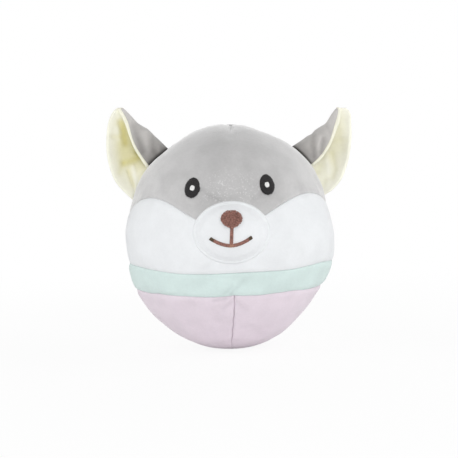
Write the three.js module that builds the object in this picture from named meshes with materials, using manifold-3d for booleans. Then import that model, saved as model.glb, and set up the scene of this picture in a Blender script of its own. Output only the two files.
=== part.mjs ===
// Plush dog toy: a stuffed, ball-shaped dog with two cupped ears and a bellows squeaker inside.
// Millimetres, +Z up. The toy faces -Y and its own left side is +X.
// The origin is on the floor, below the middle of the toy.

import * as THREE from 'three';
import Module from 'manifold-3d';
import { mergeVertices } from 'three/addons/utils/BufferGeometryUtils.js';

const { lerp, clamp, degToRad } = THREE.MathUtils;
const quarterTurn = Math.PI / 2;

// Clearances between separate pieces
const seamGap = 0.3;
const softGap = 0.3;
const plasticGap = 0.3;

// Stuffed body, measured to the outside of the fabric
const bodyHalfWidth = 73.2;
const bodyHalfDepth = 63;
const bodyUpperHeight = 79.8; // from the widest line up to the crown
const bodyLowerHeight = 79.2; // from the widest line down to the bottom, before it settles
const lowerFullnessShare = 1.75; // 2 would be an ellipse, and less is narrower
const bottomRoundingShare = 4; // how late the bottom turns from oval to round, seen from above
const settleDepth = 1.8; // how far the stuffing gives way above the floor
const settleReach = 24;
const floorCutDepth = 0.5;

// Fabric panels
const skinThickness = 1.5;
const seamPinch = 0.9; // how deep the stitching pulls a seam in
const seamPinchReach = 7;
const pinchFadeHeight = 12; // no seam is pulled in where the toy rests on the floor
const cheekSeamHide = 5.4; // how far the muzzle's middle stands above the seam's low point
const cheekSeamPeak = 107.2;
const cheekSeamSide = 93;
const cheekPeakAngle = degToRad(52); // round from the front
const mintTopHeight = 58.8;
const mintBottomHeight = 41.6;
const columnsPerQuarter = 9;
const crownRows = 8;
const cheekRows = 4;
const mintRows = 2;
const seatRows = 6;
const backRows = 11;

// Stuffing
const fillColumnsPerQuarter = 5;
const fillRows = 18;

// Muzzle
const muzzleMiddleHeight = 85.4;
const muzzleHalfWidth = 24.5;
const muzzleHalfHeight = 19.7;
const muzzleRise = 6.4;
const muzzleDomeShare = 2.6;
const muzzleSkinThickness = 1.3;
const muzzlePadShare = 0.93;
const muzzleSegments = 24;
const muzzleCoverRingShares = [0, 0.3, 0.55, 0.75, 0.9, 1];
const muzzlePadRingShares = [0, 0.33, 0.6, 0.82, 1];

// Embroidered face
const embroideryThickness = 0.8;
const embroideryCrown = 0.3; // extra thickness at the middle of a filled patch
const patchRingShares = [0, 0.6, 1];
const eyeWidth = 9.7;
const eyeHeight = 13;
const eyeSpread = 24.5; // from the middle of the face to an eye
const eyeRise = 28.5; // from the muzzle's middle
const eyeTilt = degToRad(11);
const eyeSegments = 20;
const highlightWidth = 3.5;
const highlightHeight = 4.3;
const highlightSegments = 12;
const noseWidth = 14;
const noseHeight = 10.8;
const noseRise = 9.1; // from the muzzle's middle
const nosePointShare = 0.16; // how far the sides draw in toward the bottom
const noseSegments = 20;
const stitchLineWidth = 2.2;
const stitchEdgeShare = 0.5; // how thick a line of stitches is at its edges, of its middle
const smileHalfWidth = 13.1;
const smileEndDrop = 3.8; // from the muzzle's middle
const smileLowDrop = 9.1;
const smileCurveShare = 1.7;
const smileSteps = 12;
const philtrumSteps = 4;

// Ears, in the plane of the base line: along the base toward the crown, and out from it
const earBaseTopHeight = 140.1;
const earBaseBottomHeight = 105;
const earSetback = 1.5; // behind the side seam
const earLength = 42.5;
const earFoldRadius = 7.2;
const earPinchedRadius = 2.2; // where the fold is sewn flat, at the base and at the tip
const earFlapLeast = 1;
const earFabricThickness = 0.8;
const earWaddingThickness = 0.8;
const earHingeRise = 4.8; // from the head to the line that the ear bends on
const earHeadClearance = 0.35;
const earForwardLimit = degToRad(45);
const earBackLimit = degToRad(50);
const earLimitSteps = 8;
const earLowerEdgeShares = [[-0.5, 0], [-0.48, 0.16], [-0.39, 0.36], [-0.2, 0.6], [0.12, 0.86], [0.42, 1]];
const earUpperEdgeShares = [[0.5, 0], [0.55, 0.22], [0.59, 0.45], [0.615, 0.68], [0.645, 0.88], [0.64, 0.98]];
const earFlapRimShares = [[0.06, 0], [0.15, 0.22], [0.26, 0.44], [0.38, 0.64], [0.49, 0.82], [0.56, 0.96]];
const earRimLeanShare = 0.3; // how far the outer rim leans forward, of the fold radius
const earWallBendShare = 0.65; // how much of the rear wall the bend takes up
const earFlapFlareShare = 0.12;
const earWallColumns = 6;
const earFoldColumns = 4;
const earFlapColumns = 3;
const earRows = 8;
const waddingMarginCells = 2;
const earProbeColumns = 0.05;
const earProbeRise = 0.01;

// Bellows squeaker, standing at the middle of the stuffing
const squeakerMiddleHeight = 77;
const squeakerRadius = 18;
const squeakerHeight = 30;
const squeakerPlateThickness = 2;
const squeakerPocketClearance = 1;
const bellowsRimInset = 0.8;
const bellowsFoldDepth = 3.6;
const bellowsFolds = 4;
const bellowsWall = 0.8;
const squeakerSegments = 20;
const socketHeight = 3;
const socketWall = 1.5;
const airHoleRadius = 1.8;
const holderRadius = 4.2;
const holderBoreRadius = 2.6;
const holderHeight = 9;
const holderSeatHeight = 4; // below it the holder is a full tube, above it half of one
const reedWidth = 6;
const reedThickness = 0.4;
const reedEndClearance = 0.3;

// Closing stitch on the back, where the toy was stuffed
const stitchBottomHeight = 63;
const stitchTopHeight = 93;
const stitchPitch = 3;
const stitchHalfSpan = 1.7;
const stitchSinkShare = 0.7; // how far the thread follows the drawn-in seam
const threadWidth = 0.8;
const threadThickness = 0.6;

const leastFaceArea = 1e-6; // smaller faces have shrunk to a line at a pole
const probeStep = 1e-3;
const bisections = 40;

// Sizes that follow from those above
const equatorHeight = bodyLowerHeight - settleDepth - floorCutDepth;
const fillInset = skinThickness + seamPinch + softGap;
const cheekSeamLow = muzzleMiddleHeight - cheekSeamHide;
const eyeMiddleHeight = muzzleMiddleHeight + eyeRise;
const noseMiddleHeight = muzzleMiddleHeight + noseRise;
const smileEndHeight = muzzleMiddleHeight - smileEndDrop;
const smileLowHeight = muzzleMiddleHeight - smileLowDrop;
const muzzleProud = softGap + muzzleRise + muzzleSkinThickness + softGap + embroideryThickness;
const bodyMiddleY = muzzleProud / 2; // centres the toy between its nose and its back

const wasm = await Module();
wasm.setup();

// Materials
function cloth(colour) {
  return new THREE.MeshStandardMaterial({ color: colour, roughness: 0.92, metalness: 0 });
}

function thread(colour) {
  return new THREE.MeshStandardMaterial({ color: colour, roughness: 0.6, metalness: 0 });
}

function plastic(colour) {
  return new THREE.MeshStandardMaterial({ color: colour, roughness: 0.4, metalness: 0 });
}

// Closed faceted solids
function addTriangle(corners, first, second, third) {
  if (new THREE.Triangle(first, second, third).getArea() > leastFaceArea) {
    corners.push(first, second, third);
  }
}

function addQuad(corners, first, second, third, fourth) {
  addTriangle(corners, first, second, third);
  addTriangle(corners, first, third, fourth);
}

function solidFromCorners(corners) {
  let volume = 0;
  for (let index = 0; index < corners.length; index += 3) {
    const normal = corners[index + 1].clone().cross(corners[index + 2]);
    volume += corners[index].dot(normal);
  }
  const facingOut = volume > 0 ? corners : [...corners].reverse();
  const geometry = new THREE.BufferGeometry().setFromPoints(facingOut);
  geometry.computeVertexNormals();
  return geometry;
}

// A sheet between two grids of points. Where it wraps, the last column repeats the first.
function sheetSolid(outer, inner, wraps = false) {
  const corners = [];
  const lastRow = outer.length - 1;
  const lastColumn = outer[0].length - 1;
  for (let row = 0; row < lastRow; row += 1) {
    for (let column = 0; column < lastColumn; column += 1) {
      const right = column + 1;
      addQuad(corners, outer[row][column], outer[row][right], outer[row + 1][right], outer[row + 1][column]);
      addQuad(corners, inner[row][column], inner[row + 1][column], inner[row + 1][right], inner[row][right]);
    }
    if (!wraps) {
      addQuad(corners, outer[row][0], outer[row + 1][0], inner[row + 1][0], inner[row][0]);
      addQuad(
        corners,
        outer[row][lastColumn],
        inner[row][lastColumn],
        inner[row + 1][lastColumn],
        outer[row + 1][lastColumn],
      );
    }
  }
  for (let column = 0; column < lastColumn; column += 1) {
    const right = column + 1;
    addQuad(corners, outer[0][column], inner[0][column], inner[0][right], outer[0][right]);
    addQuad(corners, outer[lastRow][column], outer[lastRow][right], inner[lastRow][right], inner[lastRow][column]);
  }
  return solidFromCorners(corners);
}

// A bulging surface whose first and last columns lie in one plane, closed by that plane
function flatBackedSolid(surface) {
  const corners = [];
  const lastColumn = surface[0].length - 1;
  for (let row = 0; row < surface.length - 1; row += 1) {
    for (let column = 0; column < lastColumn; column += 1) {
      const right = column + 1;
      addQuad(corners, surface[row][column], surface[row][right], surface[row + 1][right], surface[row + 1][column]);
    }
    addQuad(
      corners,
      surface[row][0],
      surface[row + 1][0],
      surface[row + 1][lastColumn],
      surface[row][lastColumn],
    );
  }
  return solidFromCorners(corners);
}

function toManifold(geometry) {
  const bare = geometry.clone();
  bare.deleteAttribute('normal');
  bare.deleteAttribute('uv');
  const merged = mergeVertices(bare);
  const vertProperties = new Float32Array(merged.attributes.position.array);
  const triVerts = new Uint32Array(merged.index.array);
  return new wasm.Manifold(new wasm.Mesh({ numProp: 3, vertProperties, triVerts }));
}

function fromManifold(solid) {
  const { vertProperties, triVerts } = solid.getMesh();
  const geometry = new THREE.BufferGeometry();
  geometry.setAttribute('position', new THREE.BufferAttribute(vertProperties, 3));
  geometry.setIndex(new THREE.BufferAttribute(triVerts, 1));
  geometry.computeVertexNormals();
  return geometry;
}

function cutGeometry(geometry, cutter) {
  return fromManifold(toManifold(geometry).subtract(toManifold(cutter)));
}

// A round piece about the Z axis, from a closed outline of radius and height
function turnedSolid(outline) {
  const points = outline.map(([radius, height]) => new THREE.Vector2(radius, height));
  const geometry = new THREE.LatheGeometry([...points, points[0]], squeakerSegments);
  geometry.rotateX(quarterTurn);
  const flat = geometry.toNonIndexed().attributes.position;
  const corners = [];
  for (let index = 0; index < flat.count; index += 3) {
    const [first, second, third] = [0, 1, 2].map((step) =>
      new THREE.Vector3().fromBufferAttribute(flat, index + step),
    );
    addTriangle(corners, first, second, third);
  }
  return solidFromCorners(corners);
}

function spread(first, last, steps) {
  return Array.from({ length: steps + 1 }, (_, step) => lerp(first, last, step / steps));
}

// Where a rising measure passes zero
function findCrossing(measure, low, high) {
  let below = low;
  let above = high;
  for (let step = 0; step < bisections; step += 1) {
    const middle = (below + above) / 2;
    if (measure(middle) < 0) {
      below = middle;
    } else {
      above = middle;
    }
  }
  return above;
}

// The stuffed body's form: an angle round from the front, and a latitude up from the widest line
function halfDepthAt(drop) {
  return lerp(bodyHalfDepth, bodyHalfWidth, drop ** bottomRoundingShare);
}

function reachAt(latitude) {
  const drop = Math.max(-Math.sin(latitude), 0);
  return latitude > 0 ? Math.cos(latitude) : Math.sqrt(Math.max(1 - drop ** lowerFullnessShare, 0));
}

function bodyPoint(angle, latitude) {
  const rise = Math.sin(latitude);
  const drop = Math.max(-rise, 0);
  const reach = reachAt(latitude);
  const x = bodyHalfWidth * reach * Math.sin(angle);
  const y = -halfDepthAt(drop) * reach * Math.cos(angle);
  if (rise > 0) {
    return new THREE.Vector3(x, y, equatorHeight + bodyUpperHeight * rise);
  }
  const settled = settleDepth * Math.exp(-((Math.hypot(x, y) / settleReach) ** 2));
  return new THREE.Vector3(x, y, equatorHeight + bodyLowerHeight * rise + settled);
}

function bodyNormal(angle, latitude) {
  if (Math.abs(latitude) > quarterTurn - probeStep) {
    return new THREE.Vector3(0, 0, Math.sign(latitude));
  }
  const across = bodyPoint(angle + probeStep, latitude).sub(bodyPoint(angle - probeStep, latitude));
  const upward = bodyPoint(angle, latitude + probeStep).sub(bodyPoint(angle, latitude - probeStep));
  return across.cross(upward).normalize();
}

function latitudeAt(height) {
  const rise = height - equatorHeight;
  return Math.asin(clamp(rise / (rise > 0 ? bodyUpperHeight : bodyLowerHeight), -1, 1));
}

function floorLatitude(angle) {
  return findCrossing((latitude) => bodyPoint(angle, latitude).z, -quarterTurn, 0);
}

// How far the front of the body lies from its middle plane, at a place seen from the front
function bodyDepthAt(x, height) {
  const latitude = latitudeAt(height);
  const reach = reachAt(latitude);
  const drop = Math.max(-Math.sin(latitude), 0);
  const across = clamp(x / (bodyHalfWidth * reach), -1, 1);
  return halfDepthAt(drop) * reach * Math.sqrt(1 - across ** 2);
}

// Seams between the panels
function cheekSeamLatitude(angle) {
  const turn = Math.abs(angle);
  if (turn < cheekPeakAngle) {
    const rise = Math.sin((quarterTurn * turn) / cheekPeakAngle);
    return latitudeAt(lerp(cheekSeamLow, cheekSeamPeak, rise));
  }
  const fall = Math.cos((quarterTurn * (turn - cheekPeakAngle)) / (quarterTurn - cheekPeakAngle));
  return latitudeAt(lerp(cheekSeamSide, cheekSeamPeak, fall));
}

const mintTopLatitude = () => latitudeAt(mintTopHeight);
const mintBottomLatitude = () => latitudeAt(mintBottomHeight);
const crownLatitude = () => quarterTurn;
const halfSeamAngle = seamGap / 2 / bodyUpperHeight;

// One fabric panel between two seams that run round the body
function skinPanel({ firstAngle, lastAngle, lower, upper, rows }) {
  const columns = Math.round(((lastAngle - firstAngle) / quarterTurn) * columnsPerQuarter);
  const angles = spread(firstAngle, lastAngle, columns);
  const onFloor = lower === floorLatitude;
  const reachesCrown = upper === crownLatitude;
  const outer = [];
  const inner = [];
  const rowPlaces = spread(0, 1, rows);
  for (const place of rowPlaces) {
    const outerRow = [];
    const innerRow = [];
    for (const angle of angles) {
      const low = lower(angle) + (onFloor ? 0 : halfSeamAngle);
      const high = upper(angle) - (reachesCrown ? 0 : halfSeamAngle);
      const latitude = lerp(low, high, place);
      const [face, lining] = skinPair({ angle, latitude, firstAngle, lastAngle, low, high, onFloor, reachesCrown });
      outerRow.push(face);
      innerRow.push(lining);
    }
    outer.push(outerRow);
    inner.push(innerRow);
  }
  if (onFloor) {
    const bottom = bodyPoint(0, -quarterTurn);
    outer.unshift(angles.map(() => new THREE.Vector3(0, 0, 0)));
    inner.unshift(angles.map(() => new THREE.Vector3(0, 0, bottom.z + skinThickness)));
  }
  return sheetSolid(outer, inner);
}

// The outer and inner points of a panel, drawn in where it meets a seam
function skinPair({ angle, latitude, firstAngle, lastAngle, low, high, onFloor, reachesCrown }) {
  const point = bodyPoint(angle, latitude);
  const normal = bodyNormal(angle, latitude);
  const sideRun = Math.min(angle - firstAngle, lastAngle - angle) * Math.hypot(point.x, point.y);
  const lowRun = onFloor ? Infinity : (latitude - low) * bodyUpperHeight;
  const highRun = reachesCrown ? Infinity : (high - latitude) * bodyUpperHeight;
  const seamRun = Math.min(sideRun, lowRun, highRun);
  const fade = clamp(point.z / pinchFadeHeight, 0, 1);
  const pinch = fade * seamPinch * Math.exp(-((seamRun / seamPinchReach) ** 2));
  const face = point.clone().addScaledVector(normal, -pinch);
  const lining = point.clone().addScaledVector(normal, -pinch - skinThickness);
  face.z = Math.max(face.z, 0);
  return [face, lining];
}

// Half of the stuffing, with its half of the pocket for the squeaker
function fillHalf(middleAngle) {
  const angles = spread(middleAngle - quarterTurn, middleAngle + quarterTurn, 2 * fillColumnsPerQuarter);
  const latitudes = spread(-quarterTurn, quarterTurn, fillRows);
  const surface = latitudes.map((latitude) =>
    angles.map((angle) => bodyPoint(angle, latitude).addScaledVector(bodyNormal(angle, latitude), -fillInset)),
  );
  const pocketHeight = squeakerHeight + 2 * plasticGap;
  const pocketRadius = squeakerRadius + squeakerPocketClearance;
  const pocket = new THREE.CylinderGeometry(pocketRadius, pocketRadius, pocketHeight, squeakerSegments);
  pocket.rotateX(quarterTurn);
  pocket.translate(0, 0, squeakerMiddleHeight);
  return cutGeometry(flatBackedSolid(surface), pocket);
}

// Pieces on the face: two skins over one outline that is seen from the front
function facePatch({ middle, outline, segments, rings, bottom, top }) {
  const turns = spread(0, 2 * Math.PI, segments);
  const layer = (lift) =>
    rings.map((ring) =>
      turns.map((turn) => {
        const [across, up] = outline(turn);
        const x = middle[0] + ring * across;
        const height = middle[1] + ring * up;
        return new THREE.Vector3(x, -bodyDepthAt(x, height) - seamGap / 2 - lift(x, height, ring), height);
      }),
    );
  return sheetSolid(layer(top), layer(bottom), true);
}

function oval(width, height, tilt = 0) {
  return (turn) => {
    const across = (width / 2) * Math.cos(turn);
    const up = (height / 2) * Math.sin(turn);
    return [
      across * Math.cos(tilt) - up * Math.sin(tilt),
      across * Math.sin(tilt) + up * Math.cos(tilt),
    ];
  };
}

function muzzleDome(x, height) {
  const away = Math.hypot(x / muzzleHalfWidth, (height - muzzleMiddleHeight) / muzzleHalfHeight);
  return muzzleRise * (1 - Math.min(away, 1) ** muzzleDomeShare);
}

const muzzleInside = (x, height) => softGap + muzzleDome(x, height);
const muzzleOutside = (x, height) => muzzleInside(x, height) + muzzleSkinThickness;

function muzzleCover() {
  return facePatch({
    middle: [0, muzzleMiddleHeight],
    outline: oval(2 * muzzleHalfWidth, 2 * muzzleHalfHeight),
    segments: muzzleSegments,
    rings: muzzleCoverRingShares,
    bottom: muzzleInside,
    top: muzzleOutside,
  });
}

function muzzlePad() {
  return facePatch({
    middle: [0, muzzleMiddleHeight],
    outline: oval(2 * muzzleHalfWidth * muzzlePadShare, 2 * muzzleHalfHeight * muzzlePadShare),
    segments: muzzleSegments,
    rings: muzzlePadRingShares,
    bottom: () => softGap,
    top: (x, height) => muzzleInside(x, height) - softGap,
  });
}

function eyePatch(side) {
  return facePatch({
    middle: [side * eyeSpread, eyeMiddleHeight],
    outline: oval(eyeWidth, eyeHeight, side * eyeTilt),
    segments: eyeSegments,
    rings: patchRingShares,
    bottom: () => softGap,
    top: (x, height, ring) => softGap + embroideryThickness + embroideryCrown * (1 - ring ** 2),
  });
}

function eyeHighlight(side) {
  const seat = softGap + embroideryThickness + embroideryCrown + softGap;
  return facePatch({
    middle: [side * eyeSpread, eyeMiddleHeight],
    outline: oval(highlightWidth, highlightHeight, side * eyeTilt),
    segments: highlightSegments,
    rings: [0, 1],
    bottom: () => seat,
    top: () => seat + embroideryThickness / 2,
  });
}

function noseOutline(turn) {
  const [across, up] = oval(noseWidth, noseHeight)(turn);
  const drawIn = 1 - nosePointShare * (1 - Math.sin(turn));
  return [across * drawIn * (1 + nosePointShare), up];
}

function nosePatch() {
  return facePatch({
    middle: [0, noseMiddleHeight],
    outline: noseOutline,
    segments: noseSegments,
    rings: patchRingShares,
    bottom: (x, height) => muzzleOutside(x, height) + softGap,
    top: (x, height, ring) =>
      muzzleOutside(x, height) + softGap + embroideryThickness + embroideryCrown * (1 - ring ** 2),
  });
}

// A line of satin stitches on the muzzle, along a path seen from the front
function stitchLine(path) {
  const edges = path.map(([x, height], index) => {
    const before = path[Math.max(index - 1, 0)];
    const after = path[Math.min(index + 1, path.length - 1)];
    const along = new THREE.Vector2(after[0] - before[0], after[1] - before[1]).normalize();
    return [-1, 0, 1].map((side) => {
      const offset = (side * stitchLineWidth) / 2;
      return [x - along.y * offset, height + along.x * offset, side];
    });
  });
  const layer = (lift) =>
    edges.map((row) =>
      row.map(([x, height, side]) => {
        const rise = muzzleOutside(x, height) + softGap + lift(side);
        return new THREE.Vector3(x, -bodyDepthAt(x, height) - seamGap / 2 - rise, height);
      }),
    );
  const threadTop = (side) => embroideryThickness * (side === 0 ? 1 : stitchEdgeShare);
  return sheetSolid(layer(threadTop), layer(() => 0));
}

function smileStitch() {
  const path = spread(-1, 1, smileSteps).map((place) => {
    const rise = (smileEndHeight - smileLowHeight) * Math.abs(place) ** smileCurveShare;
    return [place * smileHalfWidth, smileLowHeight + rise];
  });
  return stitchLine(path);
}

function philtrumStitch() {
  const bottom = smileLowHeight + stitchLineWidth / 2 + softGap;
  const top = noseMiddleHeight - noseHeight / 2 - softGap;
  return stitchLine(spread(bottom, top, philtrumSteps).map((height) => [0, height]));
}

// Closing stitch: one thread that crosses the back seam from side to side
function closingStitch() {
  const steps = Math.round((stitchTopHeight - stitchBottomHeight) / (stitchPitch / 2));
  const rise = (stitchTopHeight - stitchBottomHeight) / steps;
  const halfCut = ((threadWidth / 2) * Math.hypot(2 * stitchHalfSpan, rise)) / rise;
  const heights = spread(stitchBottomHeight, stitchTopHeight, steps);
  const layer = (lift) =>
    heights.map((height, step) => {
      const x = step % 2 === 0 ? stitchHalfSpan : -stitchHalfSpan;
      return [x - halfCut, x + halfCut].map(
        (edge) => new THREE.Vector3(edge, bodyDepthAt(edge, height) + seamGap / 2 + lift, height),
      );
    });
  const seat = softGap - seamPinch * stitchSinkShare;
  return sheetSolid(layer(seat + threadThickness), layer(seat));
}

// Ears. Their base line is a chord of the head's side outline.
function sideOutlinePoint(height) {
  return bodyPoint(quarterTurn, latitudeAt(height)).setY(earSetback);
}

const earBaseUpper = sideOutlinePoint(earBaseTopHeight);
const earBaseLower = sideOutlinePoint(earBaseBottomHeight);
const earBaseMiddle = earBaseUpper.clone().add(earBaseLower).divideScalar(2);
const earBaseLength = earBaseUpper.distanceTo(earBaseLower);
const earAlong = earBaseUpper.clone().sub(earBaseLower).normalize();
const earBackward = new THREE.Vector3(0, 1, 0);
const earOutward = earBackward.clone().cross(earAlong).normalize();

// Height of a place above the head's surface, negative inside it
function headGap(point) {
  const latitude = latitudeAt(point.z);
  const reach = reachAt(latitude);
  const away = Math.hypot(point.x / (bodyHalfWidth * reach), point.y / (bodyHalfDepth * reach));
  return (away - 1) * bodyHalfWidth * reach * Math.cos(latitude);
}

function earPlace(along, out, back) {
  return earBaseMiddle
    .clone()
    .addScaledVector(earAlong, along)
    .addScaledVector(earOutward, out)
    .addScaledVector(earBackward, back);
}

const earHeadRise = findCrossing((out) => headGap(earPlace(0, out, 0)), -earLength, earLength);
const earHingeOut = earHeadRise + earHingeRise;

// The least distance out from the base line that stays clear of the head at every bend of the ear
function clearOut(along, back) {
  const bends = spread(-earForwardLimit, earBackLimit, earLimitSteps);
  const leastGap = (out) => {
    const arm = out - earHingeOut;
    const gaps = bends.map((bend) => {
      const turnedOut = earHingeOut + arm * Math.cos(bend) - back * Math.sin(bend);
      const turnedBack = arm * Math.sin(bend) + back * Math.cos(bend);
      return headGap(earPlace(along, turnedOut, turnedBack));
    });
    return Math.min(...gaps) - earHeadClearance;
  };
  return findCrossing(leastGap, -earHingeOut, earLength);
}

function earEdge(shares) {
  const points = shares.map(([along, out]) => new THREE.Vector2(along * earBaseLength, out * earLength));
  return new THREE.SplineCurve(points);
}

const earLowerEdge = earEdge(earLowerEdgeShares);
const earUpperEdge = earEdge(earUpperEdgeShares);
const earFlapRim = earEdge(earFlapRimShares);
const earColumns = earWallColumns + earFoldColumns + earFlapColumns;

// The ear's outer face: up the rear wall, round the fold and back along the front flap
function earFace(column, up) {
  const lower = earLowerEdge.getPoint(up);
  const upper = earUpperEdge.getPoint(up);
  const rim = earFlapRim.getPoint(up);
  const radius = lerp(earPinchedRadius, earFoldRadius, Math.sin(Math.PI * up));
  const foldMiddle = upper.x - radius;
  if (column <= earWallColumns) {
    const run = column / earWallColumns;
    const bend = Math.sin(quarterTurn * Math.min(run / earWallBendShare, 1));
    const back = radius * lerp(-earRimLeanShare, 1, bend);
    return [lerp(lower.x, foldMiddle, run), lerp(lower.y, upper.y, run), back];
  }
  if (column <= earWallColumns + earFoldColumns) {
    const turn = quarterTurn * (1 - (2 * (column - earWallColumns)) / earFoldColumns);
    return [foldMiddle + radius * Math.cos(turn), upper.y, radius * Math.sin(turn)];
  }
  const run = (column - earWallColumns - earFoldColumns) / earFlapColumns;
  const rimAlong = Math.min(rim.x, foldMiddle - earFlapLeast);
  return [lerp(foldMiddle, rimAlong, run), lerp(upper.y, rim.y, run), -radius * (1 + earFlapFlareShare * run)];
}

const earStarts = spread(0, earColumns, earColumns).map((column) => {
  const [along, , back] = earFace(column, 0);
  return clearOut(along, back);
});

// The same face, started clear of the head, in the frame of the ear's hinge
function earPoint(column, up) {
  const [left, right] = [Math.floor(column), Math.ceil(column)];
  const start = lerp(earStarts[left], earStarts[right], column - left);
  const [along, out, back] = earFace(column, up);
  return new THREE.Vector3(along, start + out * (1 - start / earLength) - earHingeOut, back);
}

function earNormal(column, up) {
  const left = Math.max(column - earProbeColumns, 0);
  const right = Math.min(column + earProbeColumns, earColumns);
  const below = Math.max(up - earProbeRise, 0);
  const above = Math.min(up + earProbeRise, 1);
  const across = earPoint(right, up).sub(earPoint(left, up));
  const upward = earPoint(column, above).sub(earPoint(column, below));
  return across.cross(upward).normalize();
}

const earGrid = spread(0, 1, earRows).map((up) =>
  spread(0, earColumns, earColumns).map((column) => ({ point: earPoint(column, up), normal: earNormal(column, up) })),
);

// How much of the wadding's room a grid place has: none at the sewn edges, all of it inside
function waddingRoom(row, column) {
  const cells = Math.min(row, earRows - row, column, earColumns - column);
  return Math.min(cells / waddingMarginCells, 1) * (earWaddingThickness + softGap);
}

// A layer of the ear between two depths below its outer face. The right ear mirrors the left one.
function earLayer(side, margin, outerDepth, innerDepth) {
  const layer = (depth) =>
    earGrid.slice(margin, earRows + 1 - margin).map((cells, step) => {
      const row = step + margin;
      return cells.slice(margin, earColumns + 1 - margin).map(({ point, normal }, place) => {
        const inside = point.clone().addScaledVector(normal, -depth(row, place + margin));
        inside.z *= side;
        return inside;
      });
    });
  return sheetSolid(layer(outerDepth), layer(innerDepth));
}

function earOuter(side) {
  return earLayer(side, 0, () => 0, () => earFabricThickness);
}

function earWadding(side) {
  const start = earFabricThickness + softGap;
  return earLayer(side, waddingMarginCells, () => start, () => start + earWaddingThickness);
}

function earInner(side) {
  const start = earFabricThickness + softGap;
  return earLayer(
    side,
    0,
    (row, column) => start + waddingRoom(row, column),
    (row, column) => start + waddingRoom(row, column) + earFabricThickness,
  );
}

// Squeaker, measured from the underside of its base
const bellowsBottom = squeakerPlateThickness + plasticGap;
const bellowsTop = squeakerHeight - squeakerPlateThickness - plasticGap;
const socketBore = holderRadius + plasticGap;

function squeakerBase() {
  const rim = squeakerPlateThickness + socketHeight;
  return turnedSolid([
    [airHoleRadius, 0],
    [squeakerRadius, 0],
    [squeakerRadius, squeakerPlateThickness],
    [socketBore + socketWall, squeakerPlateThickness],
    [socketBore + socketWall, rim],
    [socketBore, rim],
    [socketBore, squeakerPlateThickness],
    [airHoleRadius, squeakerPlateThickness],
  ]);
}

function squeakerBellows() {
  const outerRadius = squeakerRadius - bellowsRimInset;
  const outside = spread(bellowsBottom, bellowsTop, 2 * bellowsFolds).map((height, step) => [
    outerRadius - (step % 2) * bellowsFoldDepth,
    height,
  ]);
  const inside = outside.map(([radius, height]) => [radius - bellowsWall, height]).reverse();
  return turnedSolid([...outside, ...inside]);
}

function squeakerTop() {
  return turnedSolid([
    [0, squeakerHeight - squeakerPlateThickness],
    [squeakerRadius, squeakerHeight - squeakerPlateThickness],
    [squeakerRadius, squeakerHeight],
    [0, squeakerHeight],
  ]);
}

// The reed holder: a tube whose upper part is cut back to the half behind the reed
function squeakerReedHolder() {
  const bottom = squeakerPlateThickness + plasticGap;
  const tube = turnedSolid([
    [holderBoreRadius, bottom],
    [holderRadius, bottom],
    [holderRadius, bottom + holderHeight],
    [holderBoreRadius, bottom + holderHeight],
  ]);
  const cutDepth = 2 * holderRadius;
  const cutter = new THREE.BoxGeometry(4 * holderRadius, cutDepth, 2 * holderHeight);
  cutter.translate(0, -cutDepth / 2, bottom + holderSeatHeight + holderHeight);
  return cutGeometry(tube, cutter);
}

const reedRootHeight = squeakerPlateThickness + plasticGap + holderSeatHeight + reedEndClearance;
const reedLength = holderHeight - holderSeatHeight - reedEndClearance;

function squeakerReed() {
  const reed = new THREE.BoxGeometry(reedWidth, reedThickness, reedLength);
  reed.translate(0, 0, reedLength / 2);
  return reed;
}

// Assembly
function piece(name, geometry, material) {
  const mesh = new THREE.Mesh(geometry, material);
  mesh.name = name;
  return mesh;
}

function shifted(mesh, x, y) {
  mesh.position.set(x, y, 0);
  return mesh;
}

const frontY = -seamGap / 2;
const backY = seamGap / 2;

function bodyPanels() {
  const front = { firstAngle: -quarterTurn, lastAngle: quarterTurn };
  const crown = piece(
    'crown_front',
    skinPanel({ ...front, lower: cheekSeamLatitude, upper: crownLatitude, rows: crownRows }),
    cloth('#bbb9ba'),
  );
  const cheeks = piece(
    'cheeks_front',
    skinPanel({ ...front, lower: mintTopLatitude, upper: cheekSeamLatitude, rows: cheekRows }),
    cloth('#ebedef'),
  );
  const mint = piece(
    'mint_band_front',
    skinPanel({ ...front, lower: mintBottomLatitude, upper: mintTopLatitude, rows: mintRows }),
    cloth('#d3e1df'),
  );
  const panels = [crown, cheeks, mint].map((mesh) => shifted(mesh, 0, frontY));
  for (const [name, side] of [['left', 1], ['right', -1]]) {
    panels.push(...sidePanels(name, side));
  }
  return panels;
}

// The quarter panels of one side: the front of the seat, and the whole back
function sidePanels(name, side) {
  const frontAngles = side > 0 ? [0, quarterTurn] : [-quarterTurn, 0];
  const backAngles = side > 0 ? [quarterTurn, 2 * quarterTurn] : [2 * quarterTurn, 3 * quarterTurn];
  const make = ([firstAngle, lastAngle], lower, upper, rows) =>
    skinPanel({ firstAngle, lastAngle, lower, upper, rows });
  const sideX = (side * seamGap) / 2;
  const seatFront = make(frontAngles, floorLatitude, mintBottomLatitude, seatRows);
  const seatBack = make(backAngles, floorLatitude, mintBottomLatitude, seatRows);
  const mintBack = make(backAngles, mintBottomLatitude, mintTopLatitude, mintRows);
  const crownBack = make(backAngles, mintTopLatitude, crownLatitude, backRows);
  return [
    shifted(piece(`seat_front_${name}`, seatFront, cloth('#daced8')), sideX, frontY),
    shifted(piece(`seat_back_${name}`, seatBack, cloth('#daced8')), sideX, backY),
    shifted(piece(`mint_band_back_${name}`, mintBack, cloth('#d3e1df')), sideX, backY),
    shifted(piece(`crown_back_${name}`, crownBack, cloth('#bbb9ba')), sideX, backY),
  ];
}

function stuffing() {
  return [
    shifted(piece('fill_front', fillHalf(0), cloth('#f2f1ec')), 0, frontY),
    shifted(piece('fill_rear', fillHalf(2 * quarterTurn), cloth('#f2f1ec')), 0, backY),
  ];
}

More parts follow.
